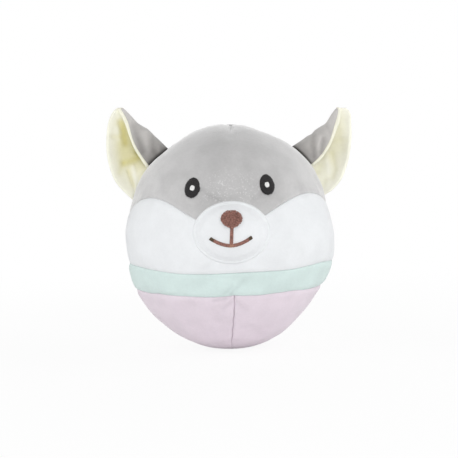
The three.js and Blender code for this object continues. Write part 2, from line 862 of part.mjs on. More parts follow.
function facePieces() {
  const pieces = [
    piece('muzzle_cover', muzzleCover(), cloth('#ebedef')),
    piece('muzzle_pad', muzzlePad(), cloth('#f2f1ec')),
    piece('nose_embroidery', nosePatch(), thread('#866157')),
    piece('philtrum_stitch', philtrumStitch(), thread('#866157')),
    piece('smile_stitch', smileStitch(), thread('#866157')),
  ];
  for (const [name, side] of [['left', 1], ['right', -1]]) {
    pieces.push(piece(`eye_${name}`, eyePatch(side), thread('#2d2b2c')));
    pieces.push(piece(`eye_highlight_${name}`, eyeHighlight(side), thread('#f6f6f4')));
  }
  return pieces;
}

// An ear turns about the X axis of its group, which lies along the ear's base
function ear(name, side) {
  const group = new THREE.Group();
  const hinge = earPlace(0, earHingeOut, 0);
  const along = earAlong.clone();
  const outward = earOutward.clone();
  for (const vector of [hinge, along, outward]) {
    vector.x *= side;
  }
  const turn = new THREE.Matrix4().makeBasis(along, outward, along.clone().cross(outward));
  group.quaternion.setFromRotationMatrix(turn);
  group.position.copy(hinge);
  group.add(
    piece(`ear_${name}_outer`, earOuter(side), cloth('#bcb8b4')),
    piece(`ear_${name}_wadding`, earWadding(side), cloth('#f2f1ec')),
    piece(`ear_${name}_inner`, earInner(side), cloth('#e1ddbd')),
  );
  return group;
}

function squeaker() {
  const group = new THREE.Group();
  group.position.set(0, 0, squeakerMiddleHeight - squeakerHeight / 2);
  const reed = piece('squeaker_reed', squeakerReed(), plastic('#d8b27a'));
  reed.position.set(0, -plasticGap - reedThickness / 2, reedRootHeight);
  group.add(
    piece('squeaker_base', squeakerBase(), plastic('#e9e6dc')),
    piece('squeaker_bellows', squeakerBellows(), plastic('#efece2')),
    piece('squeaker_top', squeakerTop(), plastic('#e9e6dc')),
    piece('squeaker_reed_holder', squeakerReedHolder(), plastic('#c9d3da')),
    reed,
  );
  return group;
}

const toy = new THREE.Group();
toy.position.set(0, bodyMiddleY, 0);
toy.add(...bodyPanels(), ...stuffing(), ...facePieces());
toy.add(piece('closing_stitch', closingStitch(), thread('#a9a6a5')));
toy.add(ear('left', 1), ear('right', -1), squeaker());

export default toy;
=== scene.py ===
import math

import bmesh
import bpy
import numpy as np
from mathutils import Matrix, Vector
from mathutils.bvhtree import BVHTree


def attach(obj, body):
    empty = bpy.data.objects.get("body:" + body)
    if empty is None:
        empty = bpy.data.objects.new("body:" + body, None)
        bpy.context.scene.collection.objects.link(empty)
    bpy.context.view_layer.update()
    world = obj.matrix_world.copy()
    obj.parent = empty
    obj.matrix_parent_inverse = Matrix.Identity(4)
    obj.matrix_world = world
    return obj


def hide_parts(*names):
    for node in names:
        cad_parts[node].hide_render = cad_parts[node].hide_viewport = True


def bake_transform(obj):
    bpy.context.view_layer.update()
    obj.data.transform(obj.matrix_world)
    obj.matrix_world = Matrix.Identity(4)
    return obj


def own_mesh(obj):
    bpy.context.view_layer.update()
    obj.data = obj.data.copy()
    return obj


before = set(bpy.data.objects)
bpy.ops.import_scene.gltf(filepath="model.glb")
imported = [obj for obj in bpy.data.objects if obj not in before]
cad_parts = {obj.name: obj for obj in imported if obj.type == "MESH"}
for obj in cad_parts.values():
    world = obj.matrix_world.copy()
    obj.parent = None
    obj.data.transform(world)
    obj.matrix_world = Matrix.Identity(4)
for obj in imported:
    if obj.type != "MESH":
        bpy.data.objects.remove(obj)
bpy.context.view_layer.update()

MM = 0.001
QUARTER = math.pi / 2
FULL_TURN = 2 * math.pi

# The stuffed body's form, as in the frame
BODY_MIDDLE_Y = 4.55
BODY_MIDDLE = np.array([0, BODY_MIDDLE_Y, 0])
BODY_HALF_WIDTH = 73.2
BODY_HALF_DEPTH = 63.0
BODY_UPPER = 79.8
BODY_LOWER = 79.2
LOWER_FULLNESS = 1.75
BOTTOM_ROUNDING = 4
SETTLE_DEPTH = 1.8
SETTLE_REACH = 24.0
EQUATOR_HEIGHT = 76.9

# Seams. What pulls on a seam: how far up, at which angle round the body, and how far it reaches
CHEEK_SEAM_LOW = 80.0
CHEEK_SEAM_PEAK = 107.9
CHEEK_SEAM_SIDE = 93.0
CHEEK_PEAK_ANGLE = math.radians(52)
CHEEK_PULLS = [(-1.4, -0.4, 0.22)]
MINT_TOP = 57.1
MINT_TOP_SIDE_RISE = 3.2
MINT_TOP_PULLS = [(-0.2, -0.24, 0.22), (2.0, -1.6, 0.55), (-1.3, 1.45, 0.35)]
MINT_BOTTOM = 41.6
MINT_BOTTOM_PULLS = [
    (-0.2, -0.24, 0.18), (0.6, 0, 0.06), (-0.6, 0.28, 0.12),
    (0.8, 0.7, 0.15), (0.7, -0.9, 0.1), (2.4, -1.6, 0.55),
]
DART_HEIGHT = 148.5
DART_X = 3.2

# Fabric of the skin
SKIN_THICKNESS = 1.5
LINING_FOLLOWS = 1.5
SEAM_PINCH = 0.9
PINCH_FADE_HEIGHT = 12.0
SEAM_HALF_GAP = 0.03
EDGE_ROLL = 0.42
CENTRE_ROLL = 1.0
SIDE_PUCKER, CENTRE_PUCKER, LOW_PUCKER, HIGH_PUCKER = 31, 32, 33, 43
PANEL_STEP = 1.6
# how strongly the creases get painted shade
CREASE_PAINTED_SHADE = 0.22

# Muzzle and face
MUZZLE_HEIGHT = 84.3
MUZZLE_HALF_WIDTH = 25.2
MUZZLE_HALF_HEIGHT = 20.4
MUZZLE_MEAN_RADIUS = (MUZZLE_HALF_WIDTH + MUZZLE_HALF_HEIGHT) / 2
MUZZLE_RISE = 6.4
MUZZLE_DOME = 2.1
MUZZLE_SKIN = 1.3
MUZZLE_GROOVE = 2.0
EYE_SIZE = (10.1, 13.1)
EYE_DENT = 0.45
EYES = {
    # side, distance from the middle, height, lean
    "left": (1, 24.5, 114.2, math.radians(13)),
    "right": (-1, 24.6, 113.8, math.radians(21)),
}
HIGHLIGHT_SIZE = (3.0, 3.5)
NOSE_HEIGHT = 93.2
NOSE_SIZE = (13.8, 11.3)
NOSE_DENT = 0.4
SMILE_MIDDLE = -0.7
SMILE_HALF_WIDTH = 13.4
SMILE_END = 81.4
SMILE_LOW = 76.5
SMILE_CURVE = 1.85
STITCH_WIDTH = 2.2


# Small helpers
def lerp(first, last, share):
    return first + (last - first) * share


def smooth(share):
    share = np.clip(share, 0, 1)
    return share * share * (3 - 2 * share)


def bell(away, reach):
    """A soft bump: 1 at its middle, and nearly 0 at twice its reach."""
    return np.exp(-((away / reach) ** 2))


def unit(vectors):
    length = np.linalg.norm(vectors, axis=-1, keepdims=True)
    return vectors / np.maximum(length, 1e-9)


def points_at(*coordinates):
    return np.stack(coordinates, axis=-1)


def turns_round(count):
    return np.linspace(0, FULL_TURN, count + 1)[:-1]


def turned(across, up, lean):
    return across * math.cos(lean) - up * math.sin(lean), across * math.sin(lean) + up * math.cos(lean)


def graded(length, fine, coarse, growth=1.35, last=True):
    """Shares along a run of some length, with short steps next to its seams."""
    lead = []
    step = fine
    while step < coarse and sum(lead) < length / 3:
        lead.append(step)
        step *= growth
    middle = length - sum(lead) * (2 if last else 1)
    count = max(round(middle / coarse), 1)
    steps = lead + [middle / count] * count + (lead[::-1] if last else [])
    return np.concatenate([[0], np.cumsum(steps)]) / length


def ripple(values, seed, low, high, waves=5, closed=False):
    """A smooth, uneven wave, between about -1 and 1. A closed one joins up with itself round the body."""
    draw = np.random.default_rng(seed)
    pick = draw.integers if closed else draw.uniform
    total = np.zeros_like(values, dtype=float)
    for _ in range(waves):
        total += np.sin(values * pick(low, high) + draw.uniform(0, FULL_TURN))
    return total / waves ** 0.5 / 1.4


def line_away(seen, places):
    """How far places seen from the front lie from a line through some others."""
    nearest = np.full(seen.shape[:-1], 1e6)
    for first, last in zip(places, places[1:]):
        start = np.array(first)
        along = np.array(last) - start
        share = np.clip(((seen - start) @ along) / (along @ along), 0, 1)
        nearest = np.minimum(nearest, np.linalg.norm(seen - (start + share[..., None] * along), axis=-1))
    return nearest


def along_lines(seen, lines):
    """Soft valleys, and ridges where a depth is negative, along lines seen from the front."""
    depth = np.zeros(seen.shape[:-1])
    for places, half_width, deep in lines:
        depth += deep * bell(line_away(seen, places), half_width)
    return depth


def nearest_mm(places, line):
    """How far each place lies from the nearest of a line's points."""
    return np.linalg.norm(places[:, None, :] - line[None, :, :], axis=-1).min(axis=1)


def arc_runs(points, axis):
    steps = np.linalg.norm(np.diff(points, axis=axis), axis=-1)
    zero = np.zeros_like(np.take(steps, [0], axis=axis))
    return np.concatenate([zero, np.cumsum(steps, axis=axis)], axis=axis)


# The body's form
def reach_at(latitude):
    drop = np.maximum(-np.sin(latitude), 0)
    lower = np.sqrt(np.maximum(1 - drop ** LOWER_FULLNESS, 0))
    return np.where(latitude > 0, np.cos(latitude), lower)


def half_depth_at(latitude):
    drop = np.maximum(-np.sin(latitude), 0)
    return lerp(BODY_HALF_DEPTH, BODY_HALF_WIDTH, drop ** BOTTOM_ROUNDING)


def body_point(angle, latitude):
    angle, latitude = np.broadcast_arrays(np.asarray(angle, float), np.asarray(latitude, float))
    rise = np.sin(latitude)
    reach = reach_at(latitude)
    x = BODY_HALF_WIDTH * reach * np.sin(angle)
    y = -half_depth_at(latitude) * reach * np.cos(angle)
    settled = SETTLE_DEPTH * bell(np.hypot(x, y), SETTLE_REACH) * (rise < 0)
    z = EQUATOR_HEIGHT + np.where(rise > 0, BODY_UPPER, BODY_LOWER) * rise + settled
    return points_at(x, y, z)


def body_normal(angle, latitude):
    step = 1e-3
    inside = np.clip(latitude, -QUARTER + 2 * step, QUARTER - 2 * step)
    across = body_point(angle + step, inside) - body_point(angle - step, inside)
    upward = body_point(angle, inside + step) - body_point(angle, inside - step)
    return unit(np.cross(across, upward))


def latitude_at(height):
    rise = np.asarray(height, float) - EQUATOR_HEIGHT
    return np.arcsin(np.clip(rise / np.where(rise > 0, BODY_UPPER, BODY_LOWER), -1, 1))


def front_depth(x, height):
    """How far the plain form's front lies from its middle plane, at a place seen from the front."""
    latitude = latitude_at(height)
    reach = reach_at(latitude)
    across = np.clip(x / (BODY_HALF_WIDTH * reach), -1, 1)
    return half_depth_at(latitude) * reach * np.sqrt(1 - across ** 2)


# Uneven stuffing: places (x, y, z), how far each bump reaches, and how high it stands
STUFFING_LUMPS = [
    ((-60, 0, 28), 24, 2.2),
    ((-68, 0, 50), 16, 1.5),
    ((-73, 0, 71), 10, -2.5),
    ((-70, 0, 105), 14, -1.4),
    ((-40, 0, 143), 19, -2.2),
    ((-16, -16, 3), 17, 1.8),
    ((50, 0, 20), 22, -2.8),
    ((72, 0, 54), 14, 2.0),
    ((72, 0, 94), 15, -2.7),
    ((54, 0, 132), 18, 0.6),
    ((26, 0, 149), 13, -2.4),
    ((30, -40, 120), 22, 0.6),
    ((-34, -38, 128), 20, 0.5),
    ((12, -58, 52), 16, 0.5),
    ((-20, 52, 100), 24, 0.8),
    ((28, 50, 60), 22, 0.7),
    ((34, 40, 128), 20, 0.5),
]


def stuffing_lift(points):
    lift = np.zeros(points.shape[:-1])
    for place, reach, height in STUFFING_LUMPS:
        lift += height * bell(np.linalg.norm(points - np.array(place, float), axis=-1), reach)
    return lift


# Seam lines
def pulled(height, angle, pulls):
    for amount, middle, reach in pulls:
        turn = (angle - middle + math.pi) % FULL_TURN - math.pi
        height = height + amount * bell(turn, reach)
    return height


def cheek_seam(angle):
    turn = np.abs(angle)
    inner = np.sin(QUARTER * np.minimum(turn / CHEEK_PEAK_ANGLE, 1))
    outer = np.cos(QUARTER * (turn - CHEEK_PEAK_ANGLE) / (QUARTER - CHEEK_PEAK_ANGLE))
    near = lerp(CHEEK_SEAM_LOW, CHEEK_SEAM_PEAK, inner)
    far = lerp(CHEEK_SEAM_SIDE, CHEEK_SEAM_PEAK, outer)
    height = pulled(np.where(turn < CHEEK_PEAK_ANGLE, near, far), angle, CHEEK_PULLS)
    return latitude_at(height + 0.35 * ripple(angle, 11, 2, 9, closed=True))


def mint_top(angle):
    height = MINT_TOP + 0.3 * ripple(angle, 12, 2, 8, closed=True)
    height += MINT_TOP_SIDE_RISE * smooth((np.abs(angle) - 0.45) / 0.75)
    return latitude_at(pulled(height, angle, MINT_TOP_PULLS))


def mint_bottom(angle):
    height = MINT_BOTTOM + 0.3 * ripple(angle, 13, 2, 8, closed=True)
    return latitude_at(pulled(height, angle, MINT_BOTTOM_PULLS))


def crown_top(angle):
    return np.full_like(angle, QUARTER)


def floor_middle(angle):
    return np.full_like(angle, -QUARTER)


def seam_drift(points):
    """How far the front seam of the pink seat wanders sideways."""
    x, y, z = np.moveaxis(points, -1, 0)
    wander = lerp(-2.0, 0.6, smooth(z / MINT_BOTTOM)) + 0.3 * ripple(z * 0.6, 14, 0.6, 1.6, waves=4)
    near = bell(x, 15) * smooth((MINT_BOTTOM + 3 - z) / 3)
    return wander * smooth(z / 4) * near * (y < 0)


# Meshes
def grid_faces(rows, columns, wraps=False, start=0):
    index = start + np.arange(rows * columns).reshape(rows, columns)
    if wraps:
        index = np.concatenate([index, index[:, :1]], axis=1)
    corners = index[:-1, :-1], index[:-1, 1:], index[1:, 1:], index[1:, :-1]
    return np.stack(corners, axis=-1).reshape(-1, 4)


def new_object(name, points, faces, material):
    """A mesh object from points in millimetres."""
    mesh = bpy.data.meshes.new(name)
    mesh.from_pydata((points.reshape(-1, 3) * MM).tolist(), [], faces)
    mesh.materials.append(material)
    made = bpy.data.objects.new(name, mesh)
    bpy.context.scene.collection.objects.link(made)
    return made


def smooth_shaded(piece):
    for polygon in piece.data.polygons:
        polygon.use_smooth = True
    return piece


def closed_object(name, points, faces, material, weld=0.0005):
    """A mesh object with its doubled points welded, turned to face outward."""
    made = new_object(name, points, faces.tolist(), material)
    tool = bmesh.new()
    tool.from_mesh(made.data)
    bmesh.ops.remove_doubles(tool, verts=tool.verts, dist=weld * MM)
    bmesh.ops.dissolve_degenerate(tool, edges=tool.edges, dist=1e-5 * MM)
    bmesh.ops.recalc_face_normals(tool, faces=tool.faces)
    if tool.calc_volume(signed=True) < 0:
        bmesh.ops.reverse_faces(tool, faces=tool.faces)
    tool.to_mesh(made.data)
    tool.free()
    return smooth_shaded(made)


def sheet(name, outer, inner, material, wraps=False):
    """A closed sheet between two grids of points."""
    rows, columns = outer.shape[:2]
    count = rows * columns
    faces = [grid_faces(rows, columns, wraps), grid_faces(rows, columns, wraps, count)[:, ::-1]]
    index = np.arange(count).reshape(rows, columns)
    for edge in [index[0], index[-1]] + ([] if wraps else [index[:, 0], index[:, -1]]):
        ahead = np.roll(edge, -1) if wraps else edge[1:]
        here = edge if wraps else edge[:-1]
        faces.append(np.stack([here, ahead, ahead + count, here + count], axis=-1))
    points = np.concatenate([outer.reshape(-1, 3), inner.reshape(-1, 3)])
    return closed_object(name, points, np.concatenate(faces), material)


def evaluated(piece):
    """The mesh of a piece with its modifiers done."""
    bpy.context.view_layer.update()
    graph = bpy.context.evaluated_depsgraph_get()
    return bpy.data.meshes.new_from_object(piece.evaluated_get(graph))


def vertices_of(mesh):
    points = np.empty(len(mesh.vertices) * 3)
    mesh.vertices.foreach_get("co", points)
    return points.reshape(-1, 3) / MM


def store_painted_shade_share(piece, values):
    """Keeps how much painted shade each place of the mesh gets, for the colour of the pile."""
    attribute = piece.data.attributes.new("painted_shade_share", "FLOAT", "POINT")
    attribute.data.foreach_set("value", np.clip(values, 0, 1))


def dress(piece, body, slot, *nodes):
    if body:
        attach(piece, body)
    if nodes:
        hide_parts(*nodes)
    return piece


# Materials
WHITE = (1, 1, 1, 1)


def node(owner, kind, feeds=None, **settings):
    """A shader node. Settings are its properties or its inputs' values, and feeds link outputs to inputs."""
    made = owner.node_tree.nodes.new(f"ShaderNode{kind}")
    for key, value in settings.items():
        if hasattr(made, key):
            setattr(made, key, value)
        else:
            made.inputs[key.replace("_", " ")].default_value = value
    for key, output in (feeds or {}).items():
        link(owner, output, made.inputs[key])
    return made


def link(owner, output, socket):
    owner.node_tree.links.new(output, socket)


def new_material(name, roughness, sheen=0.0, sheen_roughness=0.5, specular=0.5, subsurface=0.0):
    material = bpy.data.materials.new(name)
    material.use_nodes = True
    shader = material.node_tree.nodes["Principled BSDF"]
    values = {
        "Roughness": roughness,
        "Sheen Weight": sheen,
        "Sheen Roughness": sheen_roughness,
        "Specular IOR Level": specular,
        "Subsurface Weight": subsurface,
        "Subsurface Scale": 0.001,
    }
    for key, value in values.items():
        shader.inputs[key].default_value = value
    return material, shader


def linear(colour):
    """A colour written as on a screen, 0 to 255, in the units that shaders take."""
    shares = [part / 255 for part in colour]
    return [part / 12.92 if part <= 0.04045 else ((part + 0.055) / 1.055) ** 2.4 for part in shares] + [1.0]


def shade(colour, factor):
    return [min(part * factor, 1.0) for part in colour[:3]] + [1.0]


def noise(material, feature_mm, detail, stretch=None):
    place = node(material, "TexCoord").outputs["Object"]
    if stretch:
        place = node(material, "Mapping", {"Vector": place}, Scale=stretch).outputs["Vector"]
    texture = node(material, "TexNoise", {"Vector": place}, Scale=1 / (feature_mm * MM), Detail=detail)
    return texture.outputs["Fac"]


def blend_colours(material, share, first, second, low=0.35, high=0.65):
    ramp = node(material, "MapRange", {"Value": share}, From_Min=low, From_Max=high)
    mix = node(material, "Mix", {0: ramp.outputs["Result"]}, data_type="RGBA")
    for socket, colour in ((mix.inputs[6], first), (mix.inputs[7], second)):
        if isinstance(colour, (tuple, list)):
            socket.default_value = colour
        else:
            link(material, colour, socket)
    return mix.outputs[2]


def bump(material, shader, layers):
    """Several height patterns, each a (pattern, strength, height in mm), from fine to coarse."""
    feeds = {}
    for pattern, strength, height in layers:
        made = node(material, "Bump", {"Height": pattern, **feeds}, Strength=strength, Distance=height * MM)
        feeds = {"Normal": made.outputs["Normal"]}
    link(material, feeds["Normal"], shader.inputs["Normal"])


# where the painted highlights on the brow gather, and how far they reach
BROW_MIDDLE = (0, -50, 111)
BROW_REACH = (25, 30, 17)


def brow_painted_glints(material, colours, base, strength):
    """Scattered fibre tips that catch the light, thickest at the middle of the brow."""
    move = node(
        material, "Mapping", {"Vector": node(material, "TexCoord").outputs["Object"]}, vector_type="TEXTURE",
        Location=[part * MM for part in BROW_MIDDLE], Scale=[part * MM for part in BROW_REACH],
    )
    away = node(material, "VectorMath", {0: move.outputs["Vector"]}, operation="LENGTH")
    near = node(material, "MapRange", {"Value": away.outputs["Value"]}, From_Min=1.0, From_Max=0.35)
    spots = node(material, "MapRange", {"Value": noise(material, 1.1, 3)}, From_Min=0.56, From_Max=0.68)
    shares = {0: near.outputs["Result"], 1: spots.outputs["Result"]}
    share = node(material, "Math", shares, operation="MULTIPLY").outputs[0]
    return blend_colours(material, share, colours, shade(base, 1 + 2.4 * strength), low=0.0, high=1.0)


def plush(name, colour, nap=0.06, speckle=0.05, sheen=0.35, deep=None, painted_glints=0.0):
    """Short-pile knitted plush: fine fibre tips, small clumps and broad brushed patches of nap.

    deep is the colour of painted shade in creases, hollows and crevices, taken as far as the mesh asks. The
    brow setting paints highlights: light caught by fibre tips on the brow, between the eyes.
    """
    material, shader = new_material(name, 0.92, sheen=sheen, sheen_roughness=0.55, specular=0.15)
    base = linear(colour)
    fibres, clumps, patches = (noise(material, *pattern) for pattern in ((0.45, 3), (1.7, 2), (14, 2)))
    brushed = blend_colours(material, patches, shade(base, 1 - nap), shade(base, 1 + nap))
    dim, bright = shade(WHITE, 1 - speckle), shade(WHITE, 1 + speckle)
    tips = blend_colours(material, clumps, dim, bright, low=0.3, high=0.7)
    # painted shade: the pile turns toward the deep colour as far as the mesh's painted shade share asks
    depth = node(material, "Attribute", attribute_name="painted_shade_share").outputs["Fac"]
    folded = linear(deep) if deep else shade(base, 0.6)
    brushed = blend_colours(material, depth, brushed, folded, low=0.0, high=1.0)
    mottled = node(material, "Mix", {6: brushed, 7: tips}, data_type="RGBA", blend_type="MULTIPLY")
    mottled.inputs[0].default_value = 1.0
    colours = mottled.outputs[2]
    # painted highlights: lighter flecks on the brow, where fibre tips catch the light
    if painted_glints:
        colours = brow_painted_glints(material, colours, base, painted_glints)
    link(material, colours, shader.inputs["Base Color"])
    bump(material, shader, [(fibres, 0.55, 0.25), (clumps, 0.35, 0.35), (patches, 0.25, 0.8)])
    return material


def varied(name, colour, roughness, fine, coarse, shades, stretch=None, **surface):
    """A surface whose shade changes with a coarse pattern.

    Each pattern gives its features' size, its detail, and its bump's strength and height.
    """
    material, shader = new_material(name, roughness, **surface)
    base = linear(colour)
    patterns = [noise(material, *fine[:2], stretch), noise(material, *coarse[:2])]
    colours = blend_colours(material, patterns[1], shade(base, shades[0]), shade(base, shades[1]))
    link(material, colours, shader.inputs["Base Color"])
    layers = [(pattern, *kind[2:]) for pattern, kind in zip(patterns, (fine, coarse)) if kind[2:]]
    bump(material, shader, layers)
    return material


def thread_material(name, colour, spread):
    """Embroidery thread: shiny rayon strands with fine twist and small changes of shade."""
    twist, strands = (0.16, 2, 0.5, 0.08), (0.9, 2)
    shades = (1 - spread, 1 + spread)
    return varied(name, colour, 0.5, twist, strands, shades, sheen=0.05, sheen_roughness=0.4, specular=0.25)


def plastic_material(name, colour, roughness, glow=0.0):
    """Moulded soft plastic with a faint grain."""
    grain, cloud = (0.35, 2, 0.25, 0.05), (6, 3, 0.2, 0.1)
    return varied(name, colour, roughness, grain, cloud, (0.96, 1.03), subsurface=glow)


GREY_PLUSH = plush("grey_plush", (189, 188, 188), nap=0.07, sheen=1.0, painted_glints=0.11)
WHITE_PLUSH = plush("white_plush", (227, 229, 231), nap=0.02, speckle=0.02, sheen=0.2)
MINT_PLUSH = plush("mint_plush", (207, 223, 220), nap=0.03, speckle=0.03, sheen=0.2)
PINK_PLUSH = plush("pink_plush", (227, 215, 224), nap=0.03, speckle=0.03, sheen=0.3)
# painted shadow: the ear's outside turns toward this nearly black colour in the crevice at its base
EAR_GREY = plush("ear_grey_plush", (197, 194, 191), nap=0.07, deep=(44, 40, 36))
# painted shade: the ear's inside turns toward this yellow down in its cup, where bounced light and shade fall
EAR_CREAM = plush("ear_cream_plush", (242, 241, 227), nap=0.03, speckle=0.03, sheen=0.2, deep=(217, 210, 151))
# Loose polyester fibre: tangled strands in soft clumps
FILL = varied(
    "stuffing_fibre", (242, 241, 236), 0.85, (0.5, 5, 0.8, 0.4), (5, 4, 0.6, 1.0), (0.9, 1), (1, 1, 0.25),
    sheen=0.4, specular=0.2,
)
BLACK_THREAD = thread_material("black_thread", (37, 35, 36), 0.2)
WHITE_THREAD = thread_material("white_thread", (230, 230, 229), 0.04)
TOPSTITCH_THREAD = thread_material("topstitch_thread", (224, 226, 228), 0.04)
BROWN_THREAD = thread_material("brown_thread", (141, 101, 91), 0.38)
DARK_BROWN_THREAD = thread_material("dark_brown_thread", (82, 68, 52), 0.2)
# a lighter brown that paints a highlight where the smile meets the philtrum
PAINTED_HIGHLIGHT_THREAD = thread_material("brown_painted_highlight_thread", (168, 126, 106), 0.15)
GREY_THREAD = thread_material("grey_thread", (168, 166, 165), 0.1)
SOFT_PLASTIC = plastic_material("squeaker_plastic", (236, 233, 222), 0.42, glow=0.1)
HOLDER_PLASTIC = plastic_material("reed_holder_plastic", (201, 211, 218), 0.35)
REED_PLASTIC = plastic_material("reed_plastic", (216, 178, 122), 0.25)


# Skin panels
CREASES = [
    # a fold's first and last place seen from the front (x, z), half width, depth
    ([(-18.5, 112.5), (-6.5, 105.5)], 1.8, 1.1),
    ([(14.0, 105.0), (20.5, 108.5)], 1.6, 0.8),
    ([(-2.0, 43.0), (7.0, 52.5)], 1.4, 0.85),
    ([(-6.0, 44.0), (-1.0, 49.0)], 1.2, 0.75),
    ([(-13.0, 39.2), (-5.0, 40.6)], 1.1, 1.1),
    ([(-7.0, 33.5), (-1.5, 37.5)], 1.3, 0.8),
    ([(2.5, 37.5), (8.0, 33.0)], 1.2, 0.7),
    ([(-11.0, 26.0), (-3.0, 24.5)], 1.6, 0.4),
    ([(5.0, 19.5), (12.0, 20.5)], 1.6, 0.35),
    ([(-19.0, 62.0), (-12.5, 65.5)], 1.6, 0.45),
]


def crease_inset(points):
    return along_lines(points[..., [0, 2]], CREASES) * (points[..., 1] < 0)


def eye_dent(points):
    """The thread draws the fabric in a little round each eye."""
    dent = np.zeros(points.shape[:-1])
    for side, spread, height, lean in EYES.values():
        across, up = turned(points[..., 0] - side * spread, points[..., 2] - height, -side * lean)
        away = np.hypot(across / (EYE_SIZE[0] / 2), up / (EYE_SIZE[1] / 2))
        dent += EYE_DENT * smooth((1.22 - away) / 0.3) * (points[..., 1] < 0)
    return dent


def dart_inset(points):
    """The short dart at the head of the crown: a narrow valley in a broad one."""
    taper = smooth((points[..., 2] - DART_HEIGHT) / 6) * (points[..., 1] < 0)
    away = np.abs(points[..., 0] - DART_X)
    return taper * (0.9 * bell(away, 0.75) + 0.7 * bell(away, 5))


def roll(run, radius):
    """How far a fabric edge has turned in, at some distance from its seam."""
    left = np.clip(radius - run, 0, radius)
    return radius - np.sqrt(radius ** 2 - left ** 2)


def pucker(run, along, seed):
    """Small ripples that the stitching leaves beside a seam."""
    wave = ripple(along, seed, 0.55, 1.25, waves=4)
    return 0.26 * wave * np.exp(-run / 4.5) * smooth(run / 0.8)


def painted_shade_tone(places, slot):
    """Painted shade: the middle of the crown darker, so its flanks read lighter as with sheen, and the seat's
    upper part darker, so its bottom reads lit.
    """
    across, height = places[:, 0], places[:, 2]
    if slot == "grey_plush":
        return 0.24 * bell(across, 40) + 0.32 * bell(across + 5, 26) * bell(height - 148, 12)
    if slot == "pink_plush":
        return 0.16 * smooth((height - 4) / 26)
    return np.zeros(len(places))


def panel_grid(first, last, low, high, centre):
    """Angles and latitudes of a panel's points, closer together next to its seams."""
    middle = (first + last) / 2
    angles = []
    for start, stop in [(first, last)] if centre else [(first, middle), (middle, last)]:
        angles.append(lerp(start, stop, graded((stop - start) * BODY_HALF_DEPTH, 0.3, PANEL_STEP)))
    columns = np.unique(np.round(np.concatenate(angles), 9))
    spine = body_point(middle, lerp(low(np.array([middle])), high(np.array([middle])), np.linspace(0, 1, 60)))
    rows = graded(arc_runs(spine, 0)[-1], 0.22, PANEL_STEP)
    gap = SEAM_HALF_GAP / BODY_UPPER
    lowest = low(columns) + (0 if low is floor_middle else gap)
    highest = high(columns) - (0 if high is crown_top else gap)
    latitude = lerp(lowest[None, :], highest[None, :], rows[:, None])
    return np.broadcast_to(columns[None, :], latitude.shape), latitude


def held_apart(grid, axis, side):
    """Keeps a panel on its own side of a seam."""
    near = np.abs(grid[..., axis]) < SEAM_HALF_GAP
    grid[..., axis] = np.where(near, side * SEAM_HALF_GAP, grid[..., axis])


def skin_panel(name, node_name, first, last, centre, low, high, material, slot):
    """One fabric panel between two seam lines, from one angle round the body to another."""
    on_floor = low is floor_middle
    angle, latitude = panel_grid(first, last, low, high, centre)
    points = body_point(angle, latitude)
    normals = body_normal(angle, latitude)
    runs_up = arc_runs(points, 0)
    around = angle * BODY_HALF_DEPTH
    fade = np.clip(points[..., 2] / PINCH_FADE_HEIGHT, 0, 1)
    # each seam: how far away it is, how its edge rolls, the run along it, and its pucker
    seams = [(np.abs(points[..., 1]), EDGE_ROLL, points[..., 2], SIDE_PUCKER)]
    if centre:
        seams.append((np.abs(points[..., 0]), CENTRE_ROLL, points[..., 2], CENTRE_PUCKER))
    if not on_floor:
        seams.append((runs_up, EDGE_ROLL, around, LOW_PUCKER + len(name)))
    if high is not crown_top:
        seams.append((runs_up[-1:] - runs_up, EDGE_ROLL, around, HIGH_PUCKER + len(name)))
    inset = puffed(angle, latitude, [run for run, _, _, _ in seams]) * fade
    edge = np.zeros_like(inset)
    for run, radius, along, seed in seams:
        edge = np.maximum(edge, roll(run, radius))
        inset = inset + pucker(run, along, seed) * fade
    inset = inset + crease_inset(points) + eye_dent(points) + dart_inset(points)
    lift = stuffing_lift(points) * fade
    outer = points + normals * (lift - inset - edge * (0.15 + 0.85 * fade))[..., None]
    # the inside of the fabric follows a shallow dent, and a deep one only so far
    followed = np.minimum(inset, LINING_FOLLOWS)
    inner = points + normals * (lift - followed - SKIN_THICKNESS - 0.6 * edge)[..., None]
    for grid in (outer, inner):
        held_apart(grid, 1, np.where(np.cos(angle) >= 0, -1, 1))
        if centre:
            held_apart(grid, 0, math.copysign(1, math.sin((first + last) / 2)))
        grid[..., 0] += seam_drift(points) * (on_floor or not centre)
    outer[..., 2] = np.maximum(outer[..., 2], 0)
    inner[..., 2] = np.maximum(inner[..., 2], SKIN_THICKNESS)
    piece = sheet(name, outer + BODY_MIDDLE, inner + BODY_MIDDLE, material)
    places = vertices_of(piece.data) - BODY_MIDDLE
    # painted shade: darker in the creases, in the middle of the crown and up the seat
    store_painted_shade_share(piece, CREASE_PAINTED_SHADE * crease_inset(places) + painted_shade_tone(places, slot))
    dress(piece, "root", slot, node_name)
    return outer + BODY_MIDDLE


